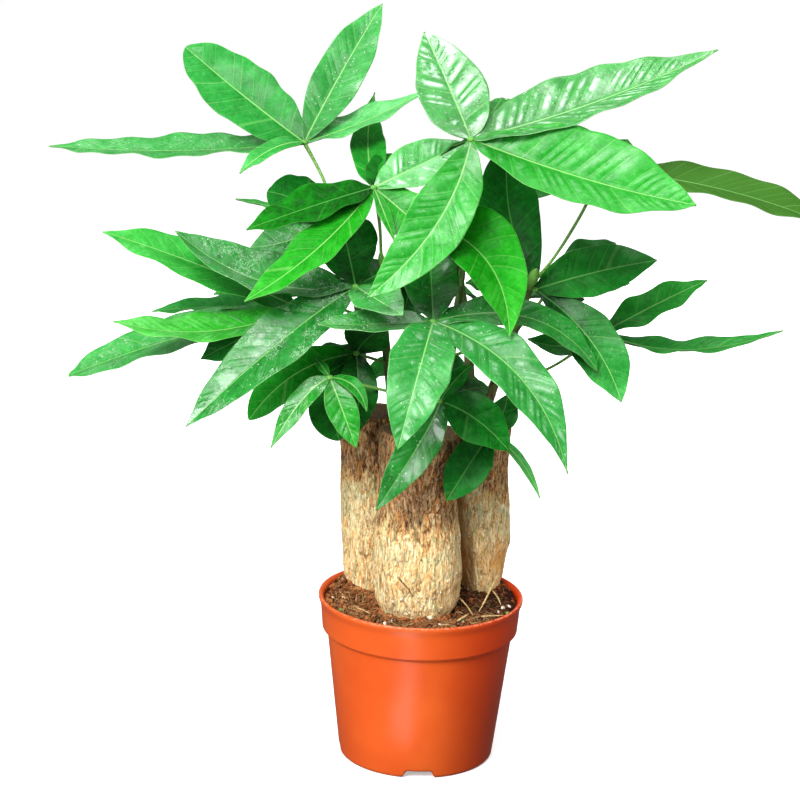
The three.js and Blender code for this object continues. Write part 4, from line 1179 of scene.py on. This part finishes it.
def addDew(build, upper, random, count):
    # Flattened domes on the upper face: a few rings over a circle that lies in the blade's surface.
    rows, columns = upper.shape[:2]
    i = random.integers(int(rows * 0.12), int(rows * 0.88), count)
    j = random.integers(2, columns - 3, count)
    a, b = random.random((2, count, 1))
    near, far = [upper[i, k] * (1 - a) + upper[i + 1, k] * a for k in (j, j + 1)]
    spot = near * (1 - b) + far * b
    normal = unit(np.cross(upper[i, j + 1] - upper[i, j], upper[i + 1, j] - upper[i, j]))
    normal = np.where(normal[:, 2:] < 0, -normal, normal)
    side = unit(np.cross(normal, np.array([0.3, 0.9, 0.1])))
    size = (0.20 + 0.65 * random.random(count) ** 4)[:, None, None]
    lift = np.array([0.0, 0.6, 1.2])[None, :, None]
    ring = np.cos(lift) * size
    dome = turned(ring, turns(6)[None, None], (np.sin(lift) * 0.55 - 0.06) * size)
    spot, side, other, normal = [way[:, None, None] for way in (spot, side, np.cross(normal, side), normal)]
    points = spot + side * dome[..., :1] + other * dome[..., 1:2] + normal * dome[..., 2:]
    build.add(points)


def makeLeaves(material):
    random = np.random.default_rng(dew["seed"])
    drops = Build()
    share = np.linspace(0, 1, blade["stalkRows"])
    radius = blade["stalkRadius"] * (1 + 0.5 * np.abs(2 * share - 1) ** 4)
    lift = np.linspace(0.05, math.pi - 0.05, 9)[:, None]
    turn = turns(14)[None]
    bulge = 1 + 0.12 * np.sin(5 * turn)
    knob = turned(bulge * np.sin(lift), turn, -0.75 * np.cos(lift)) * blade["hubRadius"]
    plain = {"vein": 0.5, "ribAway": 9, "edgeAway": 9}
    for name, leaf in leaves.items():
        build = Build("vein", "ribAway", "edgeAway", "under", "tone", "warm", "wet", "quilt", "olive",
                      "trickle", "stalk")
        root = atShares(shootRoute(leaf["shoot"]), [leaf["at"]])[0]
        top = seen(leaf["hub"])
        route = smoothRoute([root, *[seen(via) for via in leaf["via"]], top])
        stalk = rodPoints(atShares(route, share), radius, blade["stalkSides"])
        build.add(stalk, stalk=1.0, tone=0.5, **plain)
        build.add(knob + top, stalk=0.7, tone=0.7, warm=0.8, **plain)
        for form in leaf["leaflets"]:
            points, facts, upper = bladeSurface(leaf["hub"], form)
            build.add(points, **facts)
            if form["wet"] > dew["leastWet"] and form["wide"] > dew["leastWide"]:
                addDew(drops, upper, random, int(dew["count"] * form["wet"] * form["wide"] / dew["wide"]))
        build.piece(name + "_blades", material, name)
    drops.piece("dew_drops", makeDewMaterial(), None)


# Stage: a plain pale floor, soft lights and the camera.

def makeStage():
    mesh = bpy.data.meshes.new("floor")
    mesh.from_pydata([(-9, -4, 0), (9, -4, 0), (9, 14, 0), (-9, 14, 0)], [], [(0, 1, 2, 3)])
    skin = Skin("paleFloor", Base_Color=(0.93, 0.93, 0.93, 1), Roughness=0.9, Specular_IOR_Level=0.1,
                Emission_Color=(1, 1, 1, 1), Emission_Strength=lights["floorGlow"])
    mesh.materials.append(skin.material)
    floor = newObject("floor", mesh)
    # The floor is only looked at: it throws no light and no reflection on the plant.
    floor.visible_diffuse = False
    floor.visible_glossy = False
    world = bpy.data.worlds.new("studio")
    world.use_nodes = True
    tree = world.node_tree
    background = tree.nodes["Background"]
    background.inputs["Color"].default_value = (1, 1, 1, 1)
    # What the camera sees past the floor is white, and what lights the plant is dimmer.
    seenByCamera = addNode(tree, "LightPath", {}, "Is Camera Ray")
    strength = seenByCamera * (lights["background"] - lights["ambient"]) + lights["ambient"]
    tree.links.new(strength.socket, background.inputs["Strength"])
    bpy.context.scene.world = world


def addLight(name, kind, where, target, **settings):
    # A light turned so that its own -Z looks from where it is at the target.
    light = bpy.data.lights.new(name, kind)
    for setting, item in settings.items():
        setattr(light, setting, item)
    thing = newObject(name, light)
    thing.location = where
    way = np.array(target, float) - np.array(where, float)
    flat = math.hypot(way[0], way[1])
    thing.rotation_euler = (math.atan2(flat, -way[2]), 0, math.atan2(way[1], way[0]) - math.pi / 2)
    return thing


def makeLights():
    addLight("softSun", "SUN", lights["sunFrom"], (0, 0, 0), energy=lights["sunPower"],
             angle=math.radians(lights["sunSpread"]))
    for name, where, target, width, height, power, glossy in lights["areas"]:
        thing = addLight(name, "AREA", where, target, shape="RECTANGLE", size=width, size_y=height,
                         energy=power)
        thing.visible_camera = False
        thing.visible_glossy = glossy
    thing = addLight("trunkFill", "SPOT", lights["spotFrom"], lights["spotAt"], energy=lights["spotPower"],
                     shadow_soft_size=lights["spotSize"], spot_blend=lights["spotBlend"],
                     spot_size=math.radians(lights["spotWidth"]))
    thing.visible_glossy = False


def makeCamera():
    # Its three axes: right, which the roll tips, up square to it, and back along the sight line.
    lens = bpy.data.cameras.new("camera")
    lens.lens = camera["lens"]
    lens.sensor_width = camera["sensor"]
    down, roll = math.radians(camera["down"]), math.radians(camera["roll"])
    forward = np.array([0, math.cos(down), -math.sin(down)])
    level = np.array([1.0, 0, 0])
    right = level * math.cos(roll) + np.cross(level, forward) * math.sin(roll)
    matrix = np.eye(4)
    matrix[:3, :3] = np.stack([right, np.cross(right, forward), -forward], 1)
    matrix[:3, 3] = np.array(camera["eye"]) * mm
    thing = newObject("camera", lens)
    thing.matrix_world = Matrix(matrix.tolist())
    bpy.context.scene.camera = thing


bpy.context.scene.view_settings.view_transform = "Standard"
makeCamera()
makeStage()
makeLights()
print("stage, lights and camera are ready")
makePot()
print("pot is ready")
makeTrunks(makeBarkMaterial())
print("trunks are ready")
makeSoil()
makeLitter()
print("soil and litter are ready")
makeShoots(makeShootMaterial())
print("shoots are ready")
makeLeaves(makeLeafMaterial())
print("leaves are ready")
